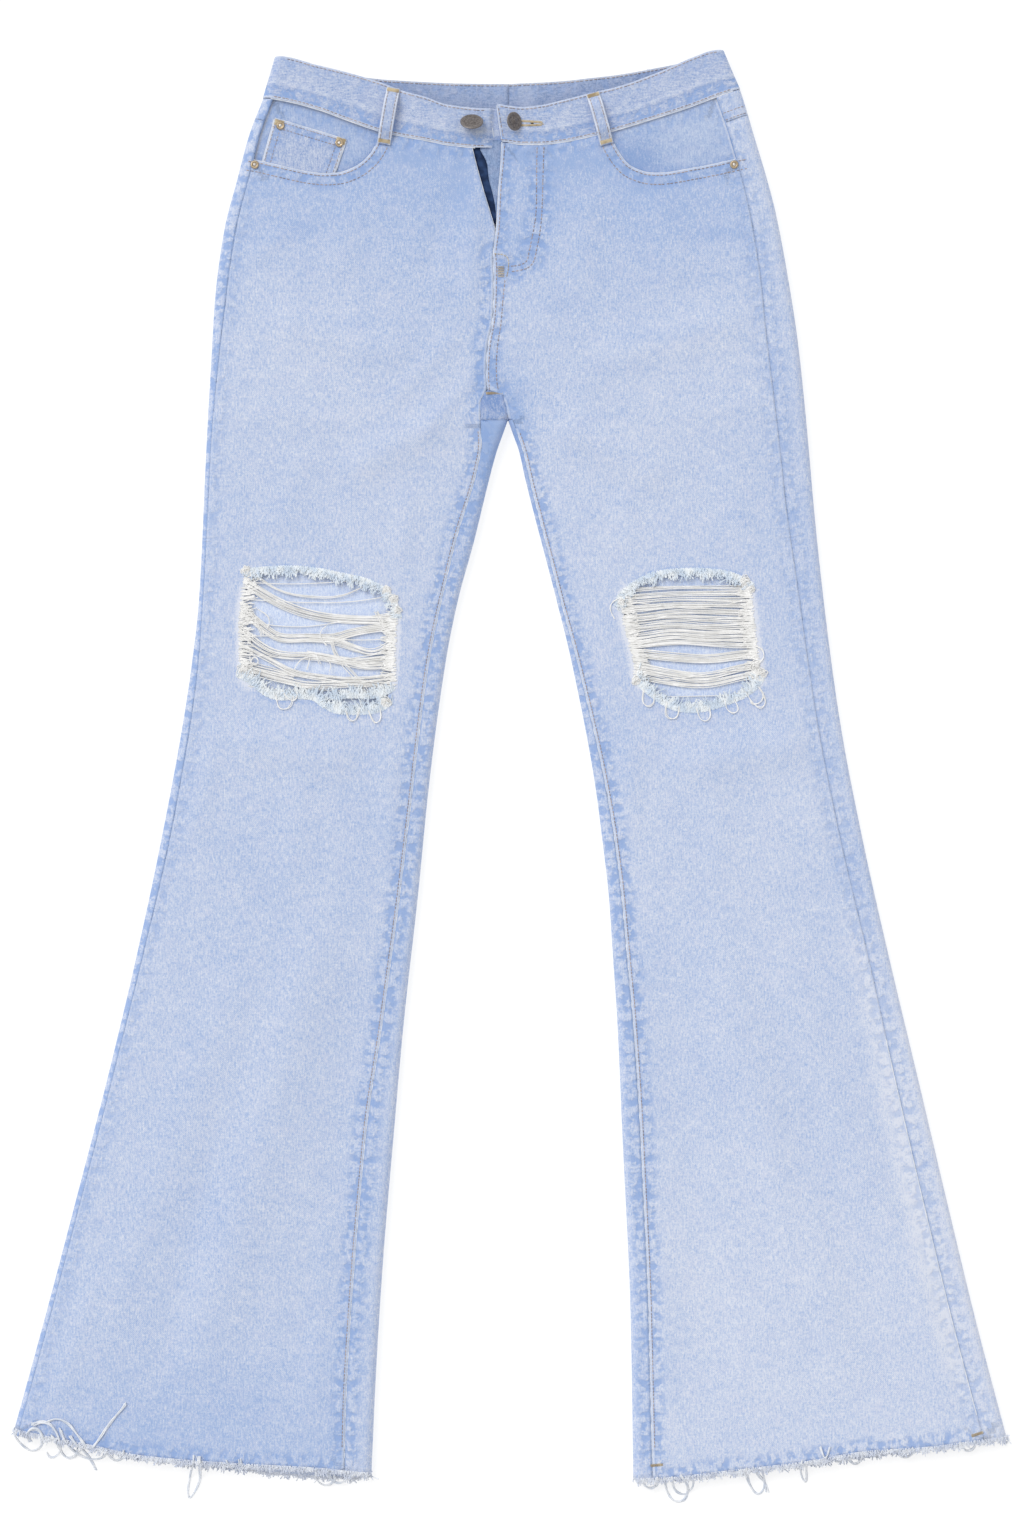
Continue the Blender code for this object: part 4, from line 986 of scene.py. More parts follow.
# %% The two yokes
def yoke_spot(side):
    def spot(wrap, row):
        y = mix(BACK_TOP, FRONT_TOP, row)
        for _ in range(4):
            x, upper = back_x(side, wrap, y)
            waist = by_layer(BAND[side], x, upper)("_seam") - CURVED_SEAM
            y = mix(YOKE.at("seam", x) + SEAM / 2, waist, row)
        return x, y, upper
    return spot


for side in (RIGHT, LEFT):
    yokes[side] = cloth_sheet(
        f"yoke_cloth_{side}", f"back_yoke_{side}", np.concatenate([1 + UNDER, 2 + TURNED]), even(14),
        yoke_spot(side), puckered(side, back_lines(side, True), phase=2.1), two_layer_marks(side),
        PALE_BLUE, CLOTH)


# %% [markdown]
# A waistband is a long strip folded over the top of the jeans. The open front shows three parts of
# it: the left end with the buttonhole, the right end that goes on below it, and the inside of the
# back, which is a shade darker since the wash reached it less. Each half is one strip that turns
# round its side fold, so it needs no joins, and a second material slot gives the inside its own blue.

# %% The waistband
EXTENSION_X = (25.0, -9.6)
BAND_ROWS = np.concatenate([[0, 0.015, 0.04, 0.075], np.linspace(0.12, 0.88, 18),
                            [0.925, 0.96, 0.985, 1]])
ROUND_THE_SIDE = np.concatenate([even(150), 1 + even(13)[1:], 2 + even(60)[1:]])
BAND_COLUMNS = {
    RIGHT: np.concatenate([np.linspace(-1, 0, 30)[:-1], ROUND_THE_SIDE]), LEFT: ROUND_THE_SIDE}
BUTTONHOLE = [(1.8, 476.1), (18, 476.3), (24, 476.5), (25.6, 476.9), (24, 477.4), (18, 477.8),
              (1.8, 478.7)]
BAND_HIGH, RIDGE_AT, EDGE_ROUND = 31.0, 0.37, 0.9


def band_spot(side):
    sign = SIGN[side]

    def at_edge(column, edge):
        fold_y = BAND[side].at("front_seam" if edge == 0 else "front_top", sign * 200)
        fold, radius = OUTER[side].at("fold", fold_y), FORM.at("fold_radius", fold_y)
        flat, turn = fold - sign * radius, np.clip(column - 1, 0, 1)
        x = mix(BAND_END[side][edge], flat, np.clip(column, 0, 1))
        x = x + sign * radius * np.sin(np.pi * turn)
        x = mix(x, -0.8 * sign, np.clip(column - 2, 0, 1))
        low, high = EXTENSION_X
        under = np.clip((column + 1) / 0.8, 0, 1)
        last = np.clip((column + 0.2) / 0.2, 0, 1)
        return np.where(column < 0, mix(mix(low, high, under), BAND_END[side][edge], last), x)

    def spot(column, row):
        x = mix(at_edge(column, 0), at_edge(column, 1), row)
        upper = column < 1.5
        height = by_layer(BAND[side], x, upper)
        return x, mix(height("_seam"), height("_top"), row), upper
    return spot


def band_place(side):
    def place(x, y, upper, depth, column, row):
        under = BAND_STEP * ramp(-column, 0.0, 0.2) - BAND_PROUD
        from_edge = np.minimum(row, 1 - row) * BAND_HIGH
        rounding = EDGE_ROUND * (1 - np.sqrt(1 - np.clip(1 - from_edge / EDGE_ROUND, 0, 1) ** 2))
        ridge = 0.5 * np.exp(-(((row - RIDGE_AT) * BAND_HIGH) / 1.1) ** 2)
        ridge = ridge - 0.16 * ramp(row, RIDGE_AT, 0.1) * (1 + np.sin(x / 2.1 + np.sin(x / 7)))
        on_top = ramp(np.minimum(*fold_distances(side, x, y)), 0.5, 6) * (column > 0)
        under = under + (0.3 * ramp(column, 2.9, 2.98) if side == RIGHT else 0.0)
        return on_cloth(side, x, y, upper, depth + under + 0.6 * rounding - ridge * on_top)
    return place


def band_marks(x, y, upper, column, row):
    low, from_ridge = row < 0.5, (row - RIDGE_AT) * BAND_HIGH
    # Painted shade: a dark line just below the band's ridge. The paler ridge itself is rubbed.
    ridge, below = np.exp(-(from_ridge / 1.6) ** 2), np.exp(-((from_ridge + 2.6) / 1.4) ** 2)
    sides, pale_middle = ramp(np.abs(x), 60, 170) * ~upper, np.exp(-((x - 14) / 6) ** 2) * ~upper
    return {"edge": np.minimum(row, 1 - row) * BAND_HIGH, "run": x, "rope": np.where(low, 1.0, 0.35),
            "bleach": np.where(low, 0.7, 0.4),
            "wear": 0.12 + 0.35 * ridge - 0.4 * below - 0.12 * ramp(row, RIDGE_AT, 0.1)
            - 0.35 * sides + 0.5 * pale_middle}


bands = {}
for side in (RIGHT, LEFT):
    bands[side] = cloth_sheet(
        f"waistband_{side}_cloth", f"waistband_{side}", BAND_COLUMNS[side], BAND_ROWS,
        band_spot(side), band_place(side), band_marks, BAND_BLUE, BAND_WALL,
        cuts=[smooth_line(BUTTONHOLE, 1, closed=True)] if side == LEFT else (),
        thread=lambda x, y, upper: (y, x), inner=INSIDE_BLUE)


# %% [markdown]
# Inside each front pocket mouth lies a facing of the same denim, a shade deeper because it was never
# rubbed. The wearer's right one carries the coin pocket, so it lies two walls below the front and the
# left one lies one wall below. The mouth's edge throws a thin real shadow there, and more shade is
# painted on the facing along the mouth and in the left one's corner.

# %% Pocket facings and the coin pocket
FACING_LOW = 424.0
FACING = {RIGHT: (-84.0, CLOTH + THIN + 2 * SEAM), LEFT: (66.0, CLOTH + SEAM)}
COIN_POCKET = Table("rise left_y right_y left_x right_x", [
    (0, 434.5, 428, -186, -132), (1, 481.7, 465.5, -172.4, -119.1)], straight=True)


def facing_spot(side):
    inner_x = FACING[side][0]

    def spot(share, rise):
        y = mix(FACING_LOW, FRONT_TOP, rise)
        for _ in range(3):
            x = mix(outseam_x(side, y) + 3 * SIGN[side], inner_x, share)
            y = mix(FACING_LOW, BAND[side].at("front_seam", x) + 3, rise)
        return x, y, all_on(x)
    return spot


def facing_marks(side):
    def marks(x, y, upper, u, v):
        lines = SEAM_LINES[side]
        # Painted shade: the facing darkens towards the mouth, under the front's edge, and at the corner
        # by the left mouth.
        mouth = distance_to(lines["mouth"], x, y)
        corner = soft_spot(x, y, 94, 452, 20, 14)
        return seam_marks(x, y, [(lines["out"], 0.5, 0.8), (lines["waist"], 0.6, 0.3)]) | {
            "wear": 0.12 * SIGN[side] - 0.35 * ramp(mouth, 9, 1) - 0.9 * corner}
    return marks


def coin_spot(share, rise):
    left, right = COIN_POCKET.at("left_x", rise), COIN_POCKET.at("right_x", rise)
    low, high = COIN_POCKET.at("left_y", rise), COIN_POCKET.at("right_y", rise)
    return mix(left, right, share), mix(low, high, share), all_on(share)


COIN_EDGES = {
    name: [tuple(float(c) for c in coin_spot(np.array(s), np.array(r))[:2]) for s, r in ends]
    for name, ends in {"left": ((0, 0), (0, 1)), "right": ((1, 0), (1, 1)),
                       "top": ((0, 1), (1, 1))}.items()}


def coin_marks(x, y, upper, u, v):
    return seam_marks(x, y, [(COIN_EDGES["left"], 0.8, 0.9), (COIN_EDGES["right"], 0.8, 0.9),
                             (COIN_EDGES["top"], 0.9, 0.5)]) | {"wear": 0.05}


facings = {}
for side in (RIGHT, LEFT):
    facings[side] = cloth_sheet(
        f"pocket_facing_{side}_cloth", f"pocket_facing_{side}", even(50), even(28),
        facing_spot(side), plain_place(side, FACING[side][1]), facing_marks(side), POCKET_BLUE, THIN)
coin = cloth_sheet(
    "coin_pocket_cloth", "coin_pocket", even(36), even(30), coin_spot,
    puckered(RIGHT, [(COIN_EDGES["top"], 0.5, 0), (COIN_EDGES["left"], 0.4, 0),
                     (COIN_EDGES["right"], 0.4, 0)], CLOTH + SEAM),
    coin_marks, BAND_BLUE, THIN)


# %% [markdown]
# The fly stands open at the top. In the gap lie the dark tape of the zip and, over it, the fly
# shield, whose edge runs down to where the fly is still closed.

# %% The fly shield and the zip tape
FLY_LOW, FLY_HIGH, SHIELD_SIDE, TAPE_SIDES = 384.0, 465.0, 16.0, (-34.0, 4.0)


def strip_spot(left, right):
    def spot(share, y):
        return mix(left(y), right(y), share), y, all_on(y)
    return spot


def dark_marks(x, y, upper, u, v):
    return NO_SEAM | {"wear": 0.3 * ramp(y, 400, 450)}


strips = []
for name, left, right, under, finish, node, slot in (
        ("fly_shield_cloth", lambda y: FLY.at("shield_edge", y), lambda y: SHIELD_SIDE + 0 * y,
         CLOTH + SEAM, SHIELD_BLUE, "fly_shield", "denim"),
        ("zip_tape_cloth", lambda y: TAPE_SIDES[0] + 0 * y, lambda y: TAPE_SIDES[1] + 0 * y,
         CLOTH + THIN + 2 * SEAM, NAVY, "zip_tape", "zip_tape")):
    strips.append(cloth_sheet(
        name, node, even(20), np.linspace(FLY_LOW, FLY_HIGH, 34), strip_spot(left, right),
        plain_place(RIGHT, under), dark_marks, finish, THIN, slot=slot))


# %% [markdown]
# A belt loop is a folded strip with its two ends turned under and tacked down. On the front the loops
# are slack and arch up. On the back they lie flat under the jeans, as the patch pockets do.

# %% Belt loops and back pockets
LOOP_WALL, LOOP_WIDTH, LOOP_BELOW, LOOP_ARCH, POCKET_WALL = 1.5, 10.0, 9.0, 5.2, 1.2
LOOPS = {  # side, whether it is on the front, x of its top, and how far its foot leans
    "belt_loop_front_right": (RIGHT, True, -84.4, -7.2),
    "belt_loop_front_left": (LEFT, True, 62.4, 10.6),
    "belt_loop_back_right": (RIGHT, False, -104.0, 2.0),
    "belt_loop_back_left": (LEFT, False, 108.0, -2.0),
    "belt_loop_back_middle": (LEFT, False, 4.0, 0.0),
}
BACK_POCKET = Table("row inner_x inner_y outer_x outer_y", [
    (0, 84, 296, 86, 296), (1, 32, 312, 136, 312), (2, 27, 360, 145, 360), (3, 22, 404, 153, 426),
], straight=True)


def loop_frame(side, front, top_x, lean):
    """The top of a loop, the way down to its foot, and the way across."""
    layer = "front" if front else "back"
    foot_x = top_x + lean
    top = np.array([top_x, float(BAND[side].at(layer + "_top", top_x)) - 0.5])
    way = np.array([foot_x, float(BAND[side].at(layer + "_seam", foot_x)) - LOOP_BELOW]) - top
    return top, way, np.array([-way[1], way[0]]) / np.hypot(*way)


def loop_seat(side, x, y):
    on_band = y > BAND[side].at("front_seam", x)
    return on_cloth(side, x, y, True, np.where(on_band, -BAND_PROUD, 0.0))[..., 2]


def loop_height(side, top, way, share):
    """Height of a front loop's face along it: tacked to the cloth at both ends, slack between."""
    along = top + np.atleast_1d(share)[:, None] * way
    seat = loop_seat(side, along[:, 0], along[:, 1])
    rest = max(loop_seat(side, *(top + way * s).reshape(2, 1))[0] for s in (0.02, 0.5, 0.75, 1))
    end = np.minimum(share, 1 - share)
    return (mix(seat, rest, ramp(end, 0.02, 0.14)) + SEAM + LOOP_WALL
            + LOOP_ARCH * ramp(end, 0.05, 0.3))


def loop_sheet(name, side, front, top_x, lean):
    top, way, across = loop_frame(side, front, top_x, lean)

    def spot(edge, share):
        at = top + share[:, None] * way + (edge[:, None] - 0.5) * LOOP_WIDTH * across
        return at[:, 0], at[:, 1], all_on(edge, front)

    def place(x, y, upper, depth, edge, share):
        rolled = 0.55 * np.clip(np.abs(edge - 0.5) / 0.5, 0, 1) ** 6
        groove = 0.22 * np.exp(-((np.abs(edge - 0.5) - 0.3) / 0.06) ** 2)
        if front:
            z = loop_height(side, top, way, share) - depth - rolled - groove
        else:
            z = depth + 0.4 * rolled
        return np.stack([x, y, z], axis=-1)

    def marks(x, y, upper, edge, share):
        return {"edge": (0.5 - np.abs(edge - 0.5)) * LOOP_WIDTH, "run": share * 42, "rope": 0.35,
                "bleach": 0.85, "wear": 0.25}

    return cloth_sheet(f"{name}_cloth", name, even(17), even(44), spot, place, marks, BAND_BLUE,
                       LOOP_WALL if front else POCKET_WALL)


def back_pocket_spot(side, share, row):
    x, y = (mix(BACK_POCKET.at(f"inner_{way}", row), BACK_POCKET.at(f"outer_{way}", row), share)
            for way in "xy")
    return SIGN[side] * x, y


def back_pocket_sheet(side):
    def spot(share, row):
        return *back_pocket_spot(side, share, row), all_on(share, False)

    def place(x, y, upper, depth, share, row):
        return np.stack([x, y, depth + 0 * x], axis=-1)

    def marks(x, y, upper, share, row):
        side_edge = np.minimum(share, 1 - share) * 110
        mouth = (3 - row) * 55
        return {"edge": np.minimum(side_edge, mouth), "run": x + y, "rope": 0.6, "bleach": 0.8,
                "wear": 0.05}

    return cloth_sheet(f"back_pocket_{side}_cloth", f"back_pocket_{side}", even(30),
                       np.linspace(0, 3, 40), spot, place, marks, PALE_BLUE, POCKET_WALL)


loops = {name: loop_sheet(name, *how) for name, how in LOOPS.items()}
pockets = {side: back_pocket_sheet(side) for side in SIGN}

# %% [markdown]
# Topstitching is thread on the cloth, so it is made as thread: each stitch is a short tube that comes
# up out of the cloth, lies on it and goes down again. A dashed line in the material would be cheaper,
# but would not catch the light. A tube needs only four sides here, since it is about half a
# millimetre thick.

# %% Threads and rows of stitches
rng = np.random.default_rng(7)


def threads(name, paths, radius, finish, node=None, slot="denim"):
    """Thin threads in one piece. Each path is rows of x, y, z in millimetres."""
    curve = bpy.data.curves.new(name, "CURVE")
    curve.dimensions, curve.bevel_depth, curve.bevel_resolution = "3D", radius * MM, 0
    curve.use_fill_caps = True
    for path in paths:
        spline = curve.splines.new("POLY")
        spline.points.add(len(path) - 1)
        spline.points.foreach_set("co", np.column_stack(
            [to_row(path), np.ones(len(path))]).astype(np.float32).ravel())
    holder = bpy.data.objects.new(name, curve)
    mesh = bpy.data.meshes.new_from_object(holder)
    bpy.data.objects.remove(holder)
    bpy.data.curves.remove(curve)
    mesh.name = name
    mesh.materials.clear()
    print(f"{name}: {len(paths)} threads, {len(mesh.polygons)} faces")
    return keep_on(object_of(name, mesh, finish), node, slot)


def along_line(points, at):
    """Spots and directions at these lengths along a line in plan."""
    points = np.array(points, dtype=float)
    runs = np.concatenate([[0], np.cumsum(np.hypot(*np.diff(points, axis=0).T))])
    spots = np.stack([np.interp(at, runs, column) for column in points.T], axis=-1)
    ahead = np.stack([np.interp(at + 0.5, runs, column) for column in points.T], axis=-1)
    behind = np.stack([np.interp(at - 0.5, runs, column) for column in points.T], axis=-1)
    way = ahead - behind
    return spots, way / np.maximum(np.hypot(*way.T), 1e-6)[:, None]


def length_of(points):
    return float(np.hypot(*np.diff(np.array(points, dtype=float), axis=0).T).sum())


def beside(points, gap):
    """A line this far to the left of another."""
    at = np.arange(0, length_of(points), 2.0)
    spots, way = along_line(points, at)
    return spots + gap * np.stack([-way[:, 1], way[:, 0]], axis=-1)


STITCH_HIGH = 0.32


def row_of_stitches(points, surface, pitch=3.1, length=2.3):
    """The stitches of one row. `surface(x, y, above)` gives points over the cloth."""
    starts = np.arange(0.4, length_of(points) - length, pitch)
    starts = starts + rng.uniform(-0.12, 0.12, len(starts)) * pitch
    steps = [along_line(points, starts + share * length)[0] for share in (0, 0.25, 0.75, 1)]
    tops = [surface(spots[:, 0], spots[:, 1], above)
            for spots, above in zip(steps, (-0.25, STITCH_HIGH - 0.05, STITCH_HIGH - 0.05, -0.25))]
    return list(np.stack(tops, axis=1))


def rows_beside(line, gaps, surface, pitch=3.1, length=2.3):
    """A row of stitches at each of these gaps to the left of a line."""
    return [stitch for gap in gaps
            for stitch in row_of_stitches(beside(line, gap), surface, pitch, length)]


def bartack(middle, along, half, width, surface, count):
    """A dense block of short stitches across a line through `middle`."""
    along = np.array(along, dtype=float) / np.hypot(*along)
    across = np.array([-along[1], along[0]])
    steps = np.linspace(-1, 1, count)[:, None, None] * half * along
    spots = (np.array(middle) + steps
             + np.array([-0.5, -0.25, 0.25, 0.5])[:, None] * width * across).reshape(-1, 2)
    high = np.tile([-0.1, 0.4, 0.4, -0.1], count)
    return list(surface(spots[:, 0], spots[:, 1], high).reshape(count, 4, 3))


def on_front(side):
    place = puckered(side, front_lines(side))
    return lambda x, y, above: place(x, y, all_on(x), -above, None, None)


def on_plain(side, under=0.0, upper=True):
    return lambda x, y, above: on_cloth(side, x, y, upper, under - above)


def on_table(high):
    """The underside of a piece that lies on the table."""
    return lambda x, y, above: np.stack([x, y, high - above + 0 * x], axis=-1)


def on_band(side):
    def surface(x, y, above):
        low, high = BAND[side].at("front_seam", x), BAND[side].at("front_top", x)
        middle = np.full(np.shape(x), 0.5)
        return band_place(side)(x, y, all_on(x), -above, middle, (y - low) / (high - low))
    return surface


def seam_part(side, name, low, high, gap):
    """Part of a seam line between two heights, moved sideways."""
    line = [p for p in SEAM_LINES[side][name] if low <= p[1] <= high]
    return beside(line, gap)


FLY_INNER = [(21.5, 460.3), (21.1, 441), (21.1, 411.4), (18.5, 396.6), (15.5, 381.8), (14.1, 375.2),
             (8.9, 372.6), (1.5, 371.9)]
FLY_OUTER = [(26.6, 460.3), (25.9, 441), (25.2, 411.4), (23.7, 396.6), (21.1, 384.1), (19.6, 375.9),
             (15.5, 370.7), (9.6, 368.9), (1.5, 367.8)]
FLY_EDGE = [(-2.4, 461), (-3.4, 447), (-5, 433.6), (-5.8, 417.4), (-6.3, 401.1), (-7.8, 390.7),
            (-9.2, 381.1)]
CROTCH_ROWS = [
    [(-9.3, 381.1), (-8.2, 373), (-8.6, 355.9), (-9.3, 333.7), (-11.5, 323.4), (-13.7, 310.8),
     (-14.5, 293.8), (-13.7, 279)],
    [(-2.2, 361.9), (-3.7, 347.8), (-5.2, 327.8), (-7.4, 316.7), (-8.9, 299.7), (-8.1, 282.7),
     (-5.2, 278.2)],
]
stitch_rows = {side: [] for side in SIGN}
for side in (RIGHT, LEFT):
    sign, face = SIGN[side], on_front(side)
    mouth = smooth_line(POCKET_MOUTH[side])
    for line, pitch in ((seam_part(side, "in", -506, 256, -sign * 2.0), 2.5),
                        (beside(mouth, -sign * 1.6), 3.1), (beside(mouth, -sign * 8.3), 3.1)):
        stitch_rows[side] += row_of_stitches(line, face, pitch, pitch * 0.72)
for line in (smooth_line(FLY_INNER), smooth_line(FLY_OUTER), smooth_line(FLY_EDGE),
             *[smooth_line(row) for row in CROTCH_ROWS]):
    stitch_rows[LEFT] += row_of_stitches(line, on_front(LEFT), 2.9, 2.1)
for side in (RIGHT, LEFT):
    threads(f"topstitching_{side}", stitch_rows[side], 0.31, TAN)
print("stitches:", sum(len(rows) for rows in stitch_rows.values()))


# %% Stitches of the waistband, loops, coin pocket, yokes and back
def inside_band(side):
    return lambda x, y, above: on_cloth(side, x, y, False, BAND_WALL - BAND_PROUD + above)


def band_line(side, layer, edge, gap, start, end):
    xs = np.arange(start, end, 4.0) if end > start else np.arange(start, end, -4.0)
    line = line_across(BAND[side], layer + edge, xs, gap)
    return [(x, y) for x, y in line if abs(x) < abs(float(OUTER[side].at("fold", y))) - 4]


band_stitches, gold = [], []
for side, ends in ((RIGHT, (-17, -184)), (LEFT, (-6, 170))):
    for edge, gap in (("_seam", 1.5), ("_top", -1.7)):
        band_stitches += row_of_stitches(band_line(side, "front", edge, gap, *ends), on_band(side))
    band_stitches += row_of_stitches(
        band_line(side, "back", "_top", -1.8, SIGN[side] * 0.5, SIGN[side] * 150),
        inside_band(side), 3.3, 2.5)
band_stitches += row_of_stitches([(-7.0, 488.5), (-3.2, 465)], on_band(LEFT))
band_stitches += row_of_stitches(band_line(RIGHT, "front", "_top", -1.7, -14, -6),
                                 on_plain(RIGHT, BAND_STEP - BAND_PROUD))
threads("waistband_stitches", band_stitches, 0.29, TAN)


def loop_surface(side, top, way):
    def surface(x, y, above):
        at = np.stack([x, y], axis=-1) - top
        share = np.clip(at @ way / (way @ way), 0, 1)
        return np.stack([x, y, loop_height(side, top, way, share) + above], axis=-1)
    return surface


loop_stitches = []
for name, (side, front, top_x, lean) in LOOPS.items():
    top, way, across = loop_frame(side, front, top_x, lean)
    surface = loop_surface(side, top, way) if front else on_table(0.25)
    for gap in (-3.3, 3.3):
        line = [tuple(top + way * share + across * gap) for share in (0.03, 0.5, 0.97)]
        loop_stitches += row_of_stitches(line, surface, 2.6, 1.9)
    for share in (0.045, 0.95):
        gold += bartack(top + way * share, across, 4.1, 2.6, surface, 15)
threads("loop_stitches", loop_stitches, 0.23, TAN)

coin_surface = on_plain(RIGHT, CLOTH + SEAM)
coin_stitches = []
for name, gaps in (("left", (-1.6, -6.2)), ("right", (1.6, 6.2)), ("top", (-1.6, -6.4))):
    coin_stitches += rows_beside(COIN_EDGES[name], gaps, coin_surface, 2.7, 2.0)
for x, y in ((-169, 478), (-123.5, 464.6)):
    gold += bartack((x, y), (1, -0.3), 3.2, 4.4, coin_surface, 13)
threads("coin_pocket_stitches", coin_stitches, 0.23, TAN)

low_stitches = []
for side in (RIGHT, LEFT):
    sign, under = SIGN[side], on_plain(side, upper=False)
    gaps = (2.0, 7.5)
    yoke = line_across(YOKE, "seam", sign * np.arange(2, 180, 6.0))
    low_stitches += rows_beside(yoke, [gap * sign for gap in gaps], under)
    if side == RIGHT:
        for gap in gaps:
            low_stitches += row_of_stitches([(-gap, 262), (-gap, 412)], under)
    else:
        upper_yoke = line_across(YOKE, "seam", np.arange(161, 181, 3.0))
        low_stitches += rows_beside(upper_yoke, (1.8, 7.0), on_plain(LEFT), 2.8, 2.1)
    outline = [tuple(float(c) for c in back_pocket_spot(side, share, row)) for row, share in (
        (3, 0), (2, 0), (1, 0), (0, 0.5), (1, 1), (2, 1), (3, 1), (3, 0))]
    low_stitches += rows_beside(outline, [gap * sign for gap in gaps], on_table(0.2))
threads("back_stitches", low_stitches, 0.25, TAN)

# %% Bartacks, and the buttonhole's thread
face = on_front(LEFT)
for middle, way, half, width, count in (
        ((-5.1, 367.8), (0, 1), 3.6, 5.0, 7), ((-10.0, 278.4), (1, 0), 6.0, 1.8, 16),
        ((110, -514), (1, 0.1), 4.2, 2.0, 12), ((347, -491), (1, 0.3), 4.2, 2.0, 12)):
    gold += bartack(middle, way, half, width, face, count)
BOX = [(-10.4, 381.1), (-3.0, 380.6), (0.7, 377.5), (0.4, 368.5), (-1.6, 362.5)]
gold += row_of_stitches(smooth_line(BOX), face, 2.3, 1.8)
hole = smooth_line(BUTTONHOLE[1:6], 1)
around = [(8, 476.2)] + hole + [(8, 478.4)]
spots, ways = along_line(around, np.arange(0.5, length_of(around), 0.62))
outwards = np.stack([ways[:, 1], -ways[:, 0]], axis=-1)[:, None]
reach = np.array([-0.2, 0.2, 0.8, 1.3])[:, None]
ends = (spots[:, None] + outwards * reach).reshape(-1, 2)
high = np.tile([-0.4, 0.45, 0.5, -0.1], len(spots))
gold += list(on_band(LEFT)(ends[:, 0], ends[:, 1], high).reshape(-1, 4, 3))
threads("bartacks", gold, 0.3, GOLD)

# %% [markdown]
# Where an edge is turned in, the fold stands up and rubs white first. A thin cord of bleached cloth
# along each turned edge makes that ridge real. It also closes the narrow slit between two sheets,
# which would show as a black line. Sheets that are sewn together leave none. Along the lower outseam
# of the left leg the white cord is partly a painted highlight on the seam's ridge. The dark blue
# cords are the dark line of the outseams with painted shade beside them, and round the point at the
# crotch and along its creases they are painted shade.


# %% Turned edges
def edge_path(points, surface, above, step=2.0):
    spots, _ = along_line(points, np.arange(0.2, length_of(points), step))
    wobble = 0.09 * np.sin(np.arange(len(spots)) * 1.7) + rng.normal(0, 0.05, len(spots))
    return surface(spots[:, 0], spots[:, 1], above + wobble)


bleached_and_highlight_edges, dark_seam_and_shade_cords = [], []
for side in (RIGHT, LEFT):
    sign, face = SIGN[side], on_front(side)
    waist = [(x, y - 0.35) for x, y in SEAM_LINES[side]["waist"]]
    low, high = (-188, -17) if side == RIGHT else (-3.5, 176)
    waist = [(x, y) for x, y in waist if low <= x <= high
             and abs(x) < abs(float(OUTER[side].at("fold", y))) - 3]
    bleached_and_highlight_edges.append(edge_path(waist, on_plain(side), -0.05))
    bleached_and_highlight_edges.append(edge_path(seam_part(side, "in", -514, 257, 0), face, -0.3))
    bleached_and_highlight_edges.append(edge_path(smooth_line(POCKET_MOUTH[side])[2:-1], face, -0.45))
    # Painted shade with the dark seam line: a dark blue cord along each outseam.
    dark_seam_and_shade_cords.append(edge_path(seam_part(side, "out", -495, 500, 0), on_plain(side), -0.62))
# Painted highlight, partly a bleached edge: a white cord on the ridge of the left leg's lower outseam.
low_outseam = [(x - 0.8, y) for x, y in seam_part(LEFT, "out", -480, -190, 0)]
bleached_and_highlight_edges.append(edge_path(low_outseam, on_front(LEFT), 0.0))
fly = [p for p in SEAM_LINES[LEFT]["fly"] if p[1] > 281] + [(-4.6, 463)]
bleached_and_highlight_edges.append(edge_path(fly, on_front(LEFT), -0.4))
right_edge, left_edge = (lambda y, side=side: FRONT_EDGE[side].at("edge", y) for side in (RIGHT, LEFT))
under_fly = line_along(right_edge, np.arange(399.0, 460, 5.0))
bleached_and_highlight_edges.append(edge_path(under_fly, on_front(RIGHT), -0.45))
# Painted shade: dark blue cords round the point at the crotch, along its lower edge and along its
# creases.
around = (line_along(right_edge, np.arange(280.0, 257, -3.5))
          + line_along(left_edge, np.arange(259.0, 282, 3.5)))
dark_seam_and_shade_cords.append(edge_path(around, on_plain(RIGHT), -0.5))
dark_seam_and_shade_cords.append(edge_path([(-19, 258.0), (-12, 258.9), (-2.0, 258.9)], on_plain(RIGHT), -0.45))
for crease in ([(-15.5, 276.5), (-14, 271), (-10.5, 266), (-6.5, 263), (-2.6, 261.8)],
               [(-18.5, 274), (-16, 269), (-14.5, 264), (-15.5, 259.5)],
               [(-5.5, 276.8), (-5.4, 271), (-4, 266), (-1.8, 262.5)]):
    dark_seam_and_shade_cords.append(edge_path(smooth_line(crease), on_plain(RIGHT), -0.3, 1.0))
for line in COIN_EDGES.values():
    bleached_and_highlight_edges.append(edge_path(line, coin_surface, -0.4))
bleached_and_highlight_edges.append(edge_path([(-8.1, 490.5), (-6.4, 477), (-4.4, 464)], on_band(LEFT), -0.35))


def under_band_end(x, y, above):
    """The right half of the waistband, where it goes down below the left one."""
    return on_cloth(RIGHT, x, y, True, BAND_STEP * ramp(x, -15.6, -9.6) - BAND_PROUD - above)


bleached_and_highlight_edges.append(edge_path([(-13.9, 488.6), (-12.4, 478), (-10.2, 466)], under_band_end, -0.1))
threads("bleached_edges", bleached_and_highlight_edges, 0.42, WHITE)
SEAM_AND_SHADE_YARN = yarn("deep blue seam", (0.20, 0.32, 0.60, 1), (0.36, 0.48, 0.74, 1))
threads("outseam_folds", dark_seam_and_shade_cords, 0.6, SEAM_AND_SHADE_YARN)

# %% [markdown]
# A rip over the knee is cut along the weft and then washed. The blue warp falls away, and the white
# weft stays as bundles of yarn from side to side, with dark slits between them. Above and below, the
# cut warp curls into a thick pale fringe. So the bundles are drawn one by one, as lists of spots along
# each, and each becomes up to a dozen separate yarns that sag and wander a little.

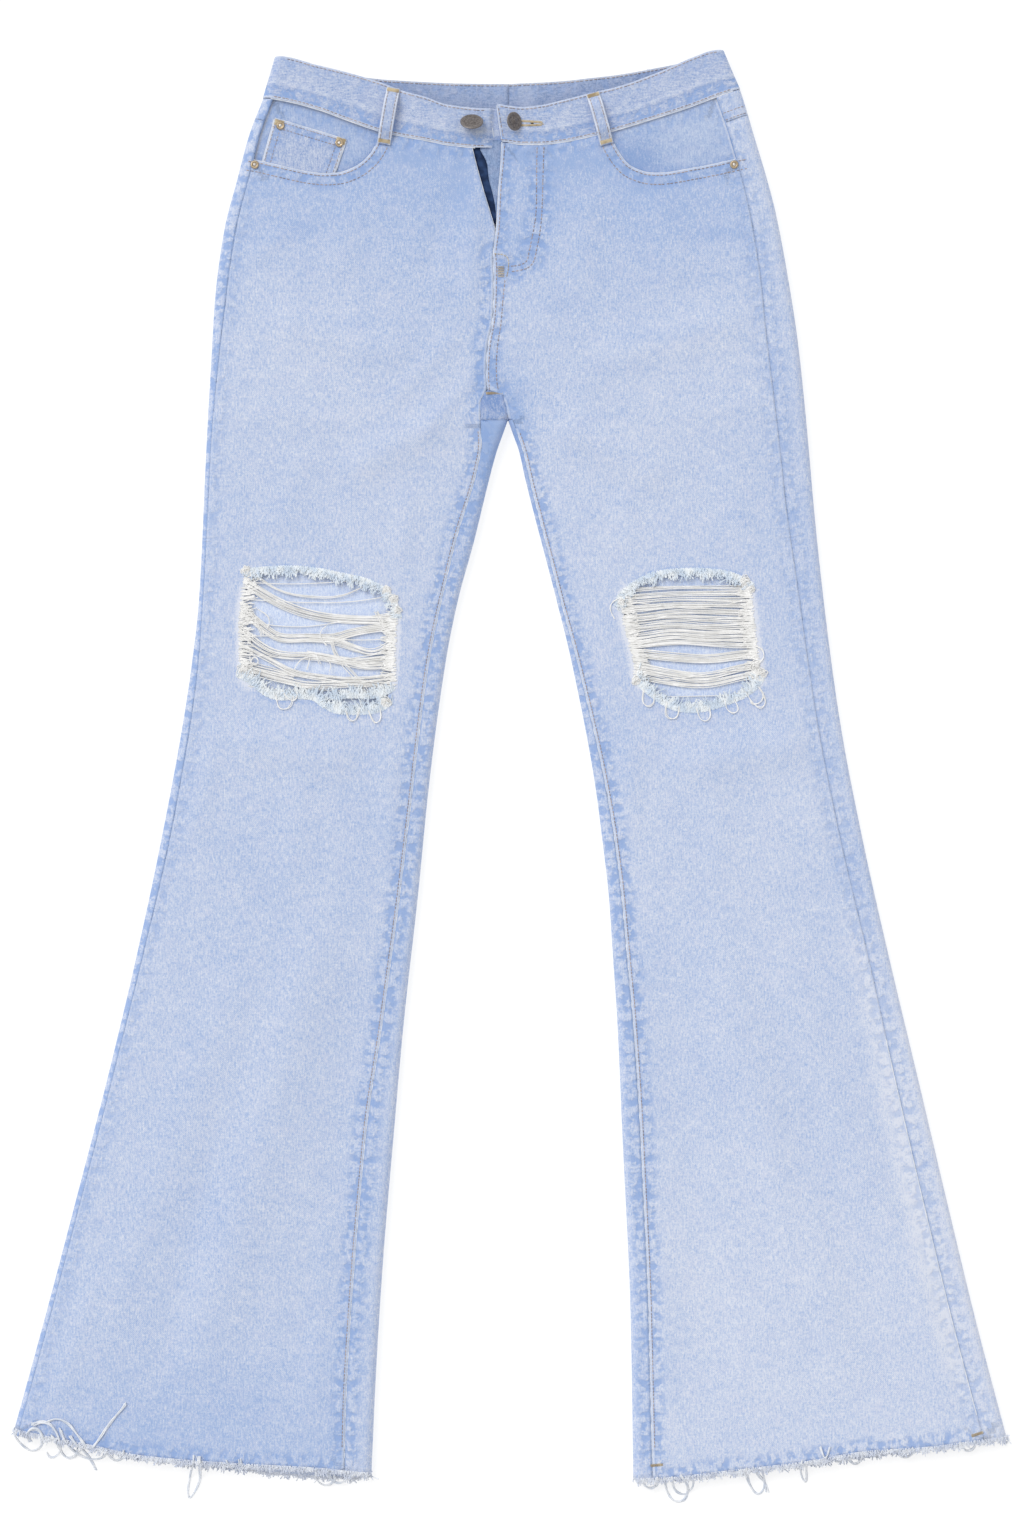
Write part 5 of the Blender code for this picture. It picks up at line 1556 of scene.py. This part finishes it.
# %% Bundles of weft
BUNDLES = {  # the width of each bundle and how many yarns it has
    RIGHT: [(6.6, 11), (6.6, 11), (5.9, 10), (5.0, 8), (5.5, 9), (4.4, 8), (5.0, 9), (1.6, 3),
            (3.5, 3), (3.2, 5), (3.0, 5), (2.4, 4)],
    LEFT: [(3.7, 6), (3.7, 6), (3.7, 6), (4.4, 7), (4.4, 7), (4.4, 7), (3.7, 6), (4.4, 7),
           (5.2, 8), (6.6, 11), (8.0, 12), (3.0, 5), (2.6, 4)],
}
LEFT_X = (80.0, 96.2, 121.4, 146.5, 171.7, 189.0)
LEFT_Y = [
    (127, 128, 130.2, 130.6, 131, 131.5), (122.6, 123.6, 125.8, 125.8, 125.8, 126.4),
    (118, 119.1, 121.4, 121.4, 121.4, 121.8), (113.5, 114, 117.7, 117.7, 116.2, 117),
    (109, 109.5, 113.2, 111.7, 111, 112), (104.6, 105.1, 108, 105.8, 106.6, 107),
    (99.4, 99.9, 104.3, 101.4, 102.1, 102.6), (95, 95.5, 99.9, 96.9, 98.4, 98),
    (91.5, 91.8, 95.5, 94, 92.5, 93.4), (87.2, 86.6, 83.6, 81.4, 85.1, 86.8),
    (77.5, 75.5, 70.3, 67.3, 74, 77), (71.5, 68.8, 63.5, 61.4, 67.6, 71),
    (133, 133.2, 135, 135.4, 135, 134),
]
BUNDLE_LINES = {
    RIGHT: [
        [(-203, 146), (-193.1, 137.6), (-168.7, 122.8), (-143.6, 114), (-114, 111), (-90.3, 111),
         (-77, 109.2)],
        [(-204, 123), (-194.6, 116.9), (-180.6, 105.1), (-168.7, 96.9), (-148.7, 97.7),
         (-128.8, 96.9), (-114, 102.1), (-84.4, 106.6), (-77, 106)],
        [(-205, 110), (-196.1, 102.1), (-183.5, 91), (-168.7, 84.4), (-143.6, 85.1), (-131, 82.9),
         (-112, 80), (-96, 82), (-79, 84)],
        [(-150, 97), (-128.8, 96.2), (-114, 90.3), (-99.2, 85.8), (-84.4, 94.7), (-77, 97)],
        [(-150, 86), (-125.1, 81.4), (-104.3, 76.2), (-84.4, 78.4), (-78, 79)],
        [(-204, 95), (-190, 88), (-176.1, 81.4), (-158.4, 71.8), (-139.1, 68.8), (-116.2, 65.9),
         (-97, 68), (-80, 70)],
        [(-204, 78), (-184, 71), (-163.5, 65.9), (-148.7, 62.2), (-128.8, 62.9), (-108.8, 64.4),
         (-92, 63), (-81, 62)],
        [(-203, 152), (-190.2, 145.8), (-168.7, 131.7), (-143.6, 127.3), (-124.3, 127.3),
         (-108, 134.7), (-98, 141)],
        [(-131, 100.6), (-128.8, 85.8), (-114, 71), (-101.4, 53.3)],
        [(-205, 87), (-196, 80), (-184, 76), (-170, 72.5), (-155, 68)],
        [(-98, 118), (-90, 104), (-82, 92), (-78, 90)],
        [(-204, 132), (-196, 124), (-186, 112), (-181, 98)],
    ],
    LEFT: [list(zip(LEFT_X, row)) for row in LEFT_Y],
}
RIP_SIDES = {
    RIGHT: ([(-84, 63), (-85, 85), (-83, 117)], [(-197, 68), (-197.5, 110), (-194, 146)]),
    LEFT: ([(84.5, 131), (86, 112), (91.5, 92), (95, 78), (94, 67)],
           [(186, 66), (183, 90), (179.5, 118), (178.5, 134)]),
}
STRAYS = {RIGHT: (62, 148, -206, -76), LEFT: (60, 138, 76, 190)}  # y from and to, x from and to
YARN = 0.4


def into_rip(side, xy):
    """How far inside the rip each spot lies, below 0 outside it."""
    edge = distance_to(SOFT_RIP[side], *xy.T, closed=True)
    return np.where(is_inside(SOFT_RIP[side], *xy.T), edge, -edge)


def yarn_path(side, xy, deep):
    """Yarn lies on the cloth outside the rip, and sinks into it within a few millimetres."""
    return on_cloth(side, *xy.T, True, mix(-0.35, deep, ramp(into_rip(side, xy), -3, 7)))


def wandering(count, size):
    """A smooth wander of `count` points, made from three slow waves."""
    at = even(count)
    waves = [rng.normal(0, size / (k + 1)) * np.sin(np.pi * (k + 1) * at * rng.uniform(0.7, 1.3)
                                                   + rng.uniform(0, 6.3)) for k in range(3)]
    return np.sum(waves, axis=0)


def bundle(side, line, width, count, wander=0.4):
    paths = []
    line = smooth_line(line, 3)
    total = length_of(line)
    for k in range(count):
        start, end = rng.uniform(0, 5), total - rng.uniform(0, 5)
        at = np.linspace(start, end, max(7, int(total / 2.8)))
        spots, way = along_line(line, at)
        offset = ((k + 0.5) / count - 0.5) * width + wandering(len(at), wander)
        xy = spots + offset[:, None] * np.stack([-way[:, 1], way[:, 0]], axis=-1)
        xy = xy[into_rip(side, xy) > -rng.uniform(0.5, 3.0)]
        paths.append(yarn_path(side, xy, rng.uniform(0.1, 1.3) + 0.2 * wandering(len(xy), 1)))
    return paths


for side in (RIGHT, LEFT):
    paths = []
    for (width, count), line in zip(BUNDLES[side], BUNDLE_LINES[side]):
        paths += bundle(side, line, width, count)
    low, high, x0, x1 = STRAYS[side]
    for y in np.arange(low, high, 13.0):
        stray = [(x0, y), (mix(x0, x1, 0.35), y - rng.uniform(0, 9)),
                 (mix(x0, x1, 0.7), y - rng.uniform(-3, 9)), (x1, y + rng.uniform(-4, 4))]
        paths += bundle(side, stray, 1.0, 1, 1.6)
    for turn, line in zip((SIGN[side], -SIGN[side]), RIP_SIDES[side]):
        spots, _ = along_line(line, np.arange(0, length_of(line), 0.55))
        for x, y in spots:
            t = even(5)
            start, size = rng.uniform(-2.4, -0.4), rng.uniform(6, 12)
            xy = np.stack([x + turn * (start + size * t), y + rng.normal(0, 0.5)
                           + rng.normal(0, 1.6) * t**2 + 0 * t], axis=-1)
            paths.append(yarn_path(side, xy, rng.uniform(-0.1, 0.9)))
    threads(f"bare_weft_{side}", paths, YARN, IVORY, f"rip_threads_{side}", "weft")

# %% [markdown]
# A frayed edge is warp with no weft to hold it: hundreds of short yarns that the wash has curled and
# matted together. One ribbon with a ragged edge gives the mat its body, and curled yarns over it give
# the tufts and small loops. The same function frays the knee rips and the raw hems.

# %% Frayed edges
MAT_WALL = 0.35
LOOPED = 0.68  # share of the yarns that come back as a loop


def fray_yarns(line, face, reach, spacing, width, droop=0.0, lead=1.2):
    """Loops and loose ends along a line, which grow to its left. `face(x, y, above)` gives points
    over the cloth."""
    roots = np.arange(0, length_of(line), spacing)
    roots = np.clip(roots + rng.uniform(-0.5, 0.5, len(roots)) * spacing, 0, length_of(line))
    spots, ways = along_line(line, roots)
    tufts = 1 + 0.3 * np.sin(roots / 2.4 + 1.5 * np.sin(roots / 9.0))
    paths, t = [], even(10)
    for spot, way, tuft in zip(spots, ways, tufts):
        size, lean = reach * tuft * rng.uniform(0.6, 1.15), rng.normal(0, 0.4)
        if rng.uniform() < LOOPED:
            grown = np.sin(np.pi * t) ** 0.75
            swing = (t - 0.5) * rng.uniform(0.6, 1.5) * width
            swing = swing + 0.35 * width * np.sin(2 * np.pi * t) * grown
        else:
            grown = t * (1.15 - 0.3 * t)
            swing = 0.6 * width * np.sin(rng.uniform(2, 5) * t + rng.uniform(0, 6.3)) * t
        grown = (size + lead) * grown - lead
        xy = spot + np.outer(grown, (-way[1], way[0])) + np.outer(swing + lean * grown, way)
        above = 0.15 + rng.uniform(0.2, 1.3) * np.sin(np.pi * t) - droop * np.clip(grown / reach, 0, 1)
        points = face(xy[:, 0], xy[:, 1], above)
        points[:, 2] = np.maximum(points[:, 2], 0.3)
        paths.append(points)
    return paths


def fray_mat(name, node, line, face, reach, finish, droop=0.0):
    """The matted body of a frayed edge, as a ruffled ribbon with a ragged edge."""
    count = int(length_of(line) / 1.1)

    def spot(along, share):
        run = along * length_of(line)
        spots, way = along_line(line, run)
        ragged = reach * (0.78 + 0.22 * np.sin(run / 2.1 + 2 * np.sin(run / 7))
                          + 0.1 * np.sin(run / 0.9))
        grown = share * ragged - 0.8
        return spots[:, 0] - way[:, 1] * grown, spots[:, 1] + way[:, 0] * grown, all_on(run)

    def place(x, y, upper, depth, along, share):
        run = along * length_of(line)
        ruffle = 0.45 * np.sin(run / 1.1 + np.sin(run / 5)) * share
        points = face(x, y, -depth - 0.3 + ruffle - droop * share**2)
        points[:, 2] = np.maximum(points[:, 2], 0.2)
        return points

    def marks(x, y, upper, along, share):
        return NO_SEAM | {"wear": 0.5}

    return cloth_sheet(name, node, even(count), even(7), spot, place, marks, finish, MAT_WALL,
                       slot="weft")


RIP_FRAYS = {
    RIGHT: [
        ([(-80, 113), (-81.5, 120), (-86, 129), (-94, 135.5), (-106, 141), (-124, 144.5),
          (-140, 148), (-158, 149.8), (-178, 149), (-196, 147.5)], 6.6),
        ([(-200, 70), (-190, 65.5), (-180, 56), (-168, 52.5), (-158, 54.5), (-143, 53.5),
          (-137, 48)], 8.0),
        ([(-140, 50), (-129, 43), (-112, 42), (-95, 43.5), (-86, 50)], 9.5),
        ([(-130, 53), (-116, 55), (-102, 54), (-91, 56), (-84, 61)], 6.5),
    ],
    LEFT: [
        ([(181, 137), (175, 140.5), (166, 145), (150, 147.6), (132, 148), (110, 146),
          (99, 141.5), (89, 135.5), (82, 128.5), (79.5, 121)], 6.4),
        ([(93.5, 68), (99, 61), (106, 55.5), (114, 49.5), (125, 44.6), (138, 43.6), (150, 45.5),
          (163, 50), (175, 54.5), (184, 61.5), (189, 69)], 7.5),
    ],
}
for side in (RIGHT, LEFT):
    face, paths, node = on_plain(side), [], f"rip_threads_{side}"
    for number, (line, reach) in enumerate(RIP_FRAYS[side]):
        line = smooth_line(line, 2)
        fray_mat(f"rip_mat_{side}_{number}", node, line, face, 0.86 * reach, FRAYED)
        paths += fray_yarns(line, face, reach, 0.5, 2.2)
        paths += fray_yarns(line, face, 0.4 * reach, 0.8, 2.0, lead=1.8)
    threads(f"rip_fray_{side}", paths, 0.3, FRAYED, node, "weft")

HEM_FRAY = yarn("frayed hem yarn", (0.70, 0.75, 0.87, 1), (0.88, 0.91, 0.97, 1))
hem_pieces = {side: [] for side in SIGN}
for side in (RIGHT, LEFT):
    paths, node = [], f"hem_fringe_{side}"
    folds = sorted((float(OUTER[side].at("fold", -500)), float(INNER[side].at("fold", -520))))
    for upper in (True, False):
        layer, droop = ("front", 2.6) if upper else ("back", 0.4)
        xs = np.arange(folds[1] - 1, folds[0] + 1, -6.0)
        line = line_across(HEM[side], layer, xs)
        face = on_plain(side, upper=upper)
        mat = fray_mat(f"hem_mat_{layer}_{side}", node, line, face, 3.8, HEM_FRAY, droop)
        hem_pieces[side].append(mat)
        paths += fray_yarns(line, face, 4.2, 0.62, 2.0, droop)
    hem_pieces[side].append(threads(f"hem_fray_{side}", paths, 0.28, HEM_FRAY, node, "weft"))

# %% Loose threads and tangles
# Each line is a thread in plan. It lies on the cloth, and sinks to the table where it hangs past
# the hem.
TANGLES = {
    RIGHT: [
        [(-185, 118.7), (-177.6, 114.7), (-176.1, 108.8), (-178.3, 105.1)],
        [(-134.8, 106.8), (-139.3, 101.8), (-137.9, 95.9), (-134, 91.9)],
        [(-158.7, 75.1), (-153.7, 81), (-147.7, 83.5), (-139.9, 84), (-133.9, 82.1), (-130.4, 77.1),
         (-131.4, 72.1)],
        [(-145.8, 84), (-148.7, 74.1)], [(-141.3, 84.5), (-139.3, 78.1)],
        [(-189.9, 80.5), (-188.5, 83.2), (-186, 83.4), (-184, 81), (-185, 78), (-188, 77.4),
         (-190, 79.8), (-191, 84)],
        [(-166.6, 60.2), (-163.6, 52.3), (-157.6, 50.8), (-154.7, 56.2), (-157.6, 61.2)],
        [(-120, 46), (-118, 37), (-114, 35.5), (-111, 39), (-110, 46)],
        [(-103, 44), (-100, 35.5), (-96, 34.5), (-93.5, 38), (-94, 46)],
        [(-172, 56), (-170, 46.5), (-165, 44.5), (-160.5, 47.5), (-159, 55)],
    ],
    LEFT: [
        [(186, 62), (189, 55), (186, 49), (180, 48.5), (178, 53)],
        [(176, 58), (180, 50), (186.5, 45), (191, 49), (189, 56)],
        [(160, 52), (162, 44), (167, 41), (170.5, 44.5), (168, 52)],
        [(140, 46), (142, 37.5), (147, 36), (150, 39.5), (148.5, 47)],
        [(118, 50), (116, 41), (120.5, 37.4), (125.5, 39.5), (126, 47)],
        [(100, 60), (99, 50.5), (103, 46.5), (107.5, 49), (108, 56)],
        [(79, 112), (75.4, 119), (77, 125), (82, 126.5)],
        [(184, 78), (190, 83), (188.6, 90), (182, 92)],
    ],
}
HEM_TANGLES = {
    RIGHT: [
        [(-366, -489), (-364, -496), (-359, -503), (-352, -506), (-346, -502), (-343.5, -495),
         (-346, -488), (-352, -486), (-356, -491), (-354, -498)],
        [(-352, -484), (-345, -481), (-338, -484), (-333, -491), (-330, -500), (-333, -508),
         (-339, -511), (-342, -507)],
        [(-341, -482), (-334, -479), (-326, -481.5), (-320, -488), (-314, -496), (-311, -502)],
        [(-338, -492), (-333, -500), (-330, -509), (-326, -512), (-321, -509), (-318, -504)],
        [(-331, -487), (-327, -496), (-322, -505), (-315, -510), (-306, -512), (-299, -509),
         (-296, -503)],
        [(-324, -492), (-318, -500), (-312, -507), (-307, -516), (-306, -520)],
        [(-308.6, -503.2), (-300, -492.5), (-294, -482), (-286, -473), (-281.9, -467.7)],
        [(-229, -507), (-228, -517), (-229, -528), (-232.5, -537), (-236.5, -541), (-238.2, -536),
         (-236, -524), (-233, -513), (-231.5, -506)],
        [(-141, -517), (-143, -525), (-138, -531), (-131, -530.5), (-127.5, -525), (-130, -518)],
        [(-133, -518), (-132, -526), (-125.5, -529.5), (-119.5, -526), (-119, -519)],
        [(-296, -504), (-294, -510), (-289, -512.5), (-284.5, -509), (-284, -503)],
        [(-208, -510.5), (-206, -516.5), (-200.5, -518), (-197, -514), (-198, -509)],
    ],
    LEFT: [
        [(116, -523), (116.5, -531), (119.5, -539), (125, -544), (131, -542), (133.8, -535),
         (132, -527), (128, -521)],
        [(121, -523), (123, -533), (128, -538), (134, -536.5), (137.5, -530), (136, -522)],
        [(176, -516), (177.5, -525), (181, -534), (186.5, -538.5), (190.6, -534), (190, -525),
         (187, -516)],
        [(182, -515), (186, -523), (191.5, -529), (192, -536)],
        [(216, -511), (216.6, -519), (219, -527), (221.6, -530), (222, -522), (220.6, -512)],
        [(231, -500), (234.4, -511), (238, -500)],
        [(100, -524), (101.5, -530.5), (106, -533), (110.5, -529.5), (110.5, -523)],
        [(288, -502), (290, -508), (295, -510), (299.5, -506.5), (299, -501)],
        [(334, -497), (337, -503.5), (342, -505), (346, -501), (345, -495.5)],
        [(252, -507), (254, -513), (258.5, -515), (262, -511.5), (261.5, -505.5)],
    ],
}
TUFTS = {  # x, y and size of each knot
    RIGHT: [(-194, 147.5, 3.0), (-84.5, 126, 4.0), (-90, 133, 3.2), (-81.5, 118, 2.6),
            (-196, 74, 4.0), (-90, 50, 3.6)],
    LEFT: [(175, 139, 3.8), (180, 134, 2.4), (187, 71, 4.2), (182.5, 77, 3.0), (84, 124, 2.8),
           (95, 66, 3.2)],
}


def tuft(side, x, y, size):
    """A knot of curled yarn."""
    turn, paths = np.linspace(0, 2 * np.pi, 12), []
    for _ in range(16):
        wide, high = rng.uniform(0.3, 0.9) * size, rng.uniform(0.25, 0.7) * size
        lean = rng.uniform(0, 3)
        dx, dy = wide * np.cos(turn), high * np.sin(turn + 0.4)
        paths.append(on_cloth(
            side, x + rng.normal(0, 0.3 * size) + dx * math.cos(lean) - dy * math.sin(lean),
            y + rng.normal(0, 0.3 * size) + dx * math.sin(lean) + dy * math.cos(lean), True,
            -0.5 - rng.uniform(0.2, 0.9) * (1 + np.sin(turn + lean))))
    return paths


def redrawn(line, wobble, step):
    """The x and y of a line that a less steady hand draws again."""
    spots = [(x + rng.normal(0, wobble), y + rng.normal(0, wobble)) for x, y in line]
    return spaced(smooth_line(spots, 3), step).T


for side in (RIGHT, LEFT):
    paths = [path for spot in TUFTS[side] for path in tuft(side, *spot)]
    for line in TANGLES[side]:
        for _ in range(2):
            x, y = redrawn(line, 0.5, 1.4)
            high = 0.75 + 0.5 * np.sin(np.linspace(0, np.pi, len(x)))
            paths.append(on_cloth(side, x, y, True, -high))
    threads(f"rip_tangles_{side}", paths, 0.32, IVORY, f"rip_threads_{side}", "weft")
    paths = []
    for line in HEM_TANGLES[side]:
        for k in range(4):
            x, y = redrawn(line, 0.6, 1.5)
            points = on_cloth(side, x, y, True, -0.7)
            past = np.clip((HEM[side].at("front", x) - y) / 14, 0, 1)
            points[:, 2] = np.maximum(mix(points[:, 2], 1.0, past**0.8), 0.5) + 0.25 * k
            paths.append(points)
    hem_pieces[side].append(
        threads(f"hem_tangles_{side}", paths, 0.57, WHITE, f"hem_fringe_{side}", "weft"))

# %% [markdown]
# Jeans buttons are pressed from sheet metal: a flat cap with a rolled rim and a small boss in the
# middle, on a post. Rivets are a brass ring round a bright centre. All are turned shapes, so a short
# profile spun about its own axis makes them. The buttons lean, since the cloth under them is soft.

# %% Buttons and rivets
BUTTON = [(0, 0), (0.62, 0), (0.9, 0.1), (1, 0.5), (1, 0.9), (0.96, 1.25), (0.88, 1.42),
          (0.8, 1.36), (0.74, 1.2), (0.5, 1.16), (0.3, 1.22), (0.22, 1.5), (0.1, 1.72), (0, 1.76)]
RIVET = [(0, 0), (0.92, 0), (1, 0.2), (1, 0.5), (0.9, 0.85), (0.72, 0.98), (0.56, 0.8), (0.46, 0.5),
         (0.4, 0.6), (0.34, 1.0), (0.2, 1.3), (0, 1.4)]


def turned(name, node, profile, radius, finishes, split, place, steps=40):
    """A piece spun from (share of the radius, height in mm). Faces inside `split` of the radius
    take the second finish. `place` is the matrix that seats it, in metres."""
    shape = bmesh.new()
    spots = [shape.verts.new((share * radius * MM, 0, high * MM)) for share, high in profile]
    edges = [shape.edges.new(pair) for pair in zip(spots, spots[1:])]
    bmesh.ops.spin(shape, geom=spots + edges, cent=(0, 0, 0), axis=(0, 0, 1), angle=2 * math.pi,
                   steps=steps, use_merge=True)
    bmesh.ops.remove_doubles(shape, verts=shape.verts, dist=1e-6)
    bmesh.ops.recalc_face_normals(shape, faces=shape.faces)
    rim = [v.co.xy.length / (radius * MM) for v in shape.verts]
    for face in shape.faces:
        if face.calc_center_median().xy.length < split * radius * MM and len(finishes) > 1:
            face.material_index = 1
    bmesh.ops.transform(shape, matrix=place, verts=shape.verts)
    mesh = mesh_of(name, shape)
    mesh.attributes.new("rim", "FLOAT", "POINT").data.foreach_set("value", rim)
    piece = object_of(name, mesh, finishes[0])
    for finish in finishes[1:]:
        mesh.materials.append(finish)
    return keep_on(piece, node, "bronze")


def seated(x, y, z, axis="X", lean=0.0):
    return (Matrix.Translation(Vector(to_row((x, y, z))))
            @ Matrix.Rotation(math.radians(lean), 4, axis))


RIVET_RADIUS, POST_RADIUS = 3.1, 1.9
RIVETS = {  # side, x, y, depth of the cloth it is set in
    "rivet_pocket_right": (RIGHT, -187, 447, 0.0), "rivet_pocket_left": (LEFT, 167, 447, 0.0),
    "rivet_coin_outer": (RIGHT, -168, 476, CLOTH + SEAM),
    "rivet_coin_inner": (RIGHT, -124.5, 463, CLOTH + SEAM),
}
BUTTONS = {  # x, y, radius, the axis it leans about, degrees, depth of the cloth it is set in
    "button_waist": (4.2, 477.6, 6.9, "Y", 40, BAND_STEP - BAND_PROUD),
    "button_end": (-26.6, 476.6, 8.5, "X", -43, -BAND_PROUD),
}
for name, (side, x, y, under) in RIVETS.items():
    turn = np.arange(0, 6.2, 0.7)
    rim = on_cloth(side, x + RIVET_RADIUS * np.cos(turn), y + RIVET_RADIUS * np.sin(turn), True, under)
    turned(f"{name}_cap", name, RIVET, RIVET_RADIUS, [BRASS, NICKEL], 0.42,
           seated(x, y, rim[:, 2].max() + SEAM), 24)
for name, (x, y, radius, axis, lean, under) in BUTTONS.items():
    low = float(on_cloth(RIGHT, [x], [y], True, under)[0, 2])
    top = float(on_cloth(LEFT, [x], [y], True, -BAND_PROUD)[0, 2])
    z = top + radius * math.sin(math.radians(abs(lean))) + 0.6
    turned(f"{name}_cap", name, BUTTON, radius, [BRONZE], 0, seated(x, y, z, axis, lean))
    post = [(0, 0), (1, 0), (0.8, 0.8), (0.8, z - low), (0, z - low)]
    turned(f"{name}_post", name, post, POST_RADIUS, [BRONZE], 0, seated(x, y, low + 0.2), 20)

# %% Stage, light and camera
FLOOR_SIZE, FLOOR_GLOW, SKY, SUN, SUN_WIDTH = 30.0, 0.72, 0.70, 1.35, 35
shape = bmesh.new()
bmesh.ops.create_grid(shape, x_segments=1, y_segments=1, size=FLOOR_SIZE)
floor_mesh = mesh_of("floor", shape)
floor_finish, tree, shader = shader_of("pale floor")
feed(tree, shader, {
    "Base Color": (0.35, 0.35, 0.35, 1), "Roughness": 0.9, "Specular IOR Level": 0.0,
    "Emission Color": (1, 1, 1, 1), "Emission Strength": FLOOR_GLOW,
})
floor_mesh.materials.append(floor_finish)
floor = placed("floor", floor_mesh)

world = bpy.data.worlds.new("studio")
bpy.context.scene.world = world
world.use_nodes = True
feed(world.node_tree, world.node_tree.nodes["Background"],
     {"Color": (1, 1, 1, 1), "Strength": SKY})
key = bpy.data.lights.new("key", "SUN")
key.energy, key.angle = SUN, math.radians(SUN_WIDTH)
lamp = placed("key", key)
lamp.location = (-1.5, 1.6, 2.6)
lamp.rotation_euler = (-lamp.location).to_track_quat("-Z", "Y").to_euler()
bpy.context.scene.view_settings.view_transform = "Standard"

lens = bpy.data.cameras.new("camera")
lens.lens, lens.sensor_width, lens.sensor_height, lens.sensor_fit = 85, 36, 36, "VERTICAL"
camera = placed("camera", lens)
camera.location = (0.0012, 0.0015, 2.694)
bpy.context.scene.camera = camera


# %% The size each sheet of cloth was cut to
def sheet(piece, rests_on):
    """Works out the width and length a sheet was cut to."""
    width, length = np.round(CUT[piece.name], 4).tolist()


for side in (RIGHT, LEFT):
    sheet(backs[side], ["floor"])
    sheet(fronts[side], [backs[side].name])
    sheet(yokes[side], ["floor"])
    sheet(bands[side], ["floor"])
    sheet(facings[side], [yokes[side].name])
    sheet(pockets[side], ["floor"])
sheet(coin, [facings[RIGHT].name])
for strip in strips:
    sheet(strip, [yokes[RIGHT].name])
for name, loop in loops.items():
    sheet(loop, ["floor" if "back" in name else bands[LOOPS[name][0]].name])
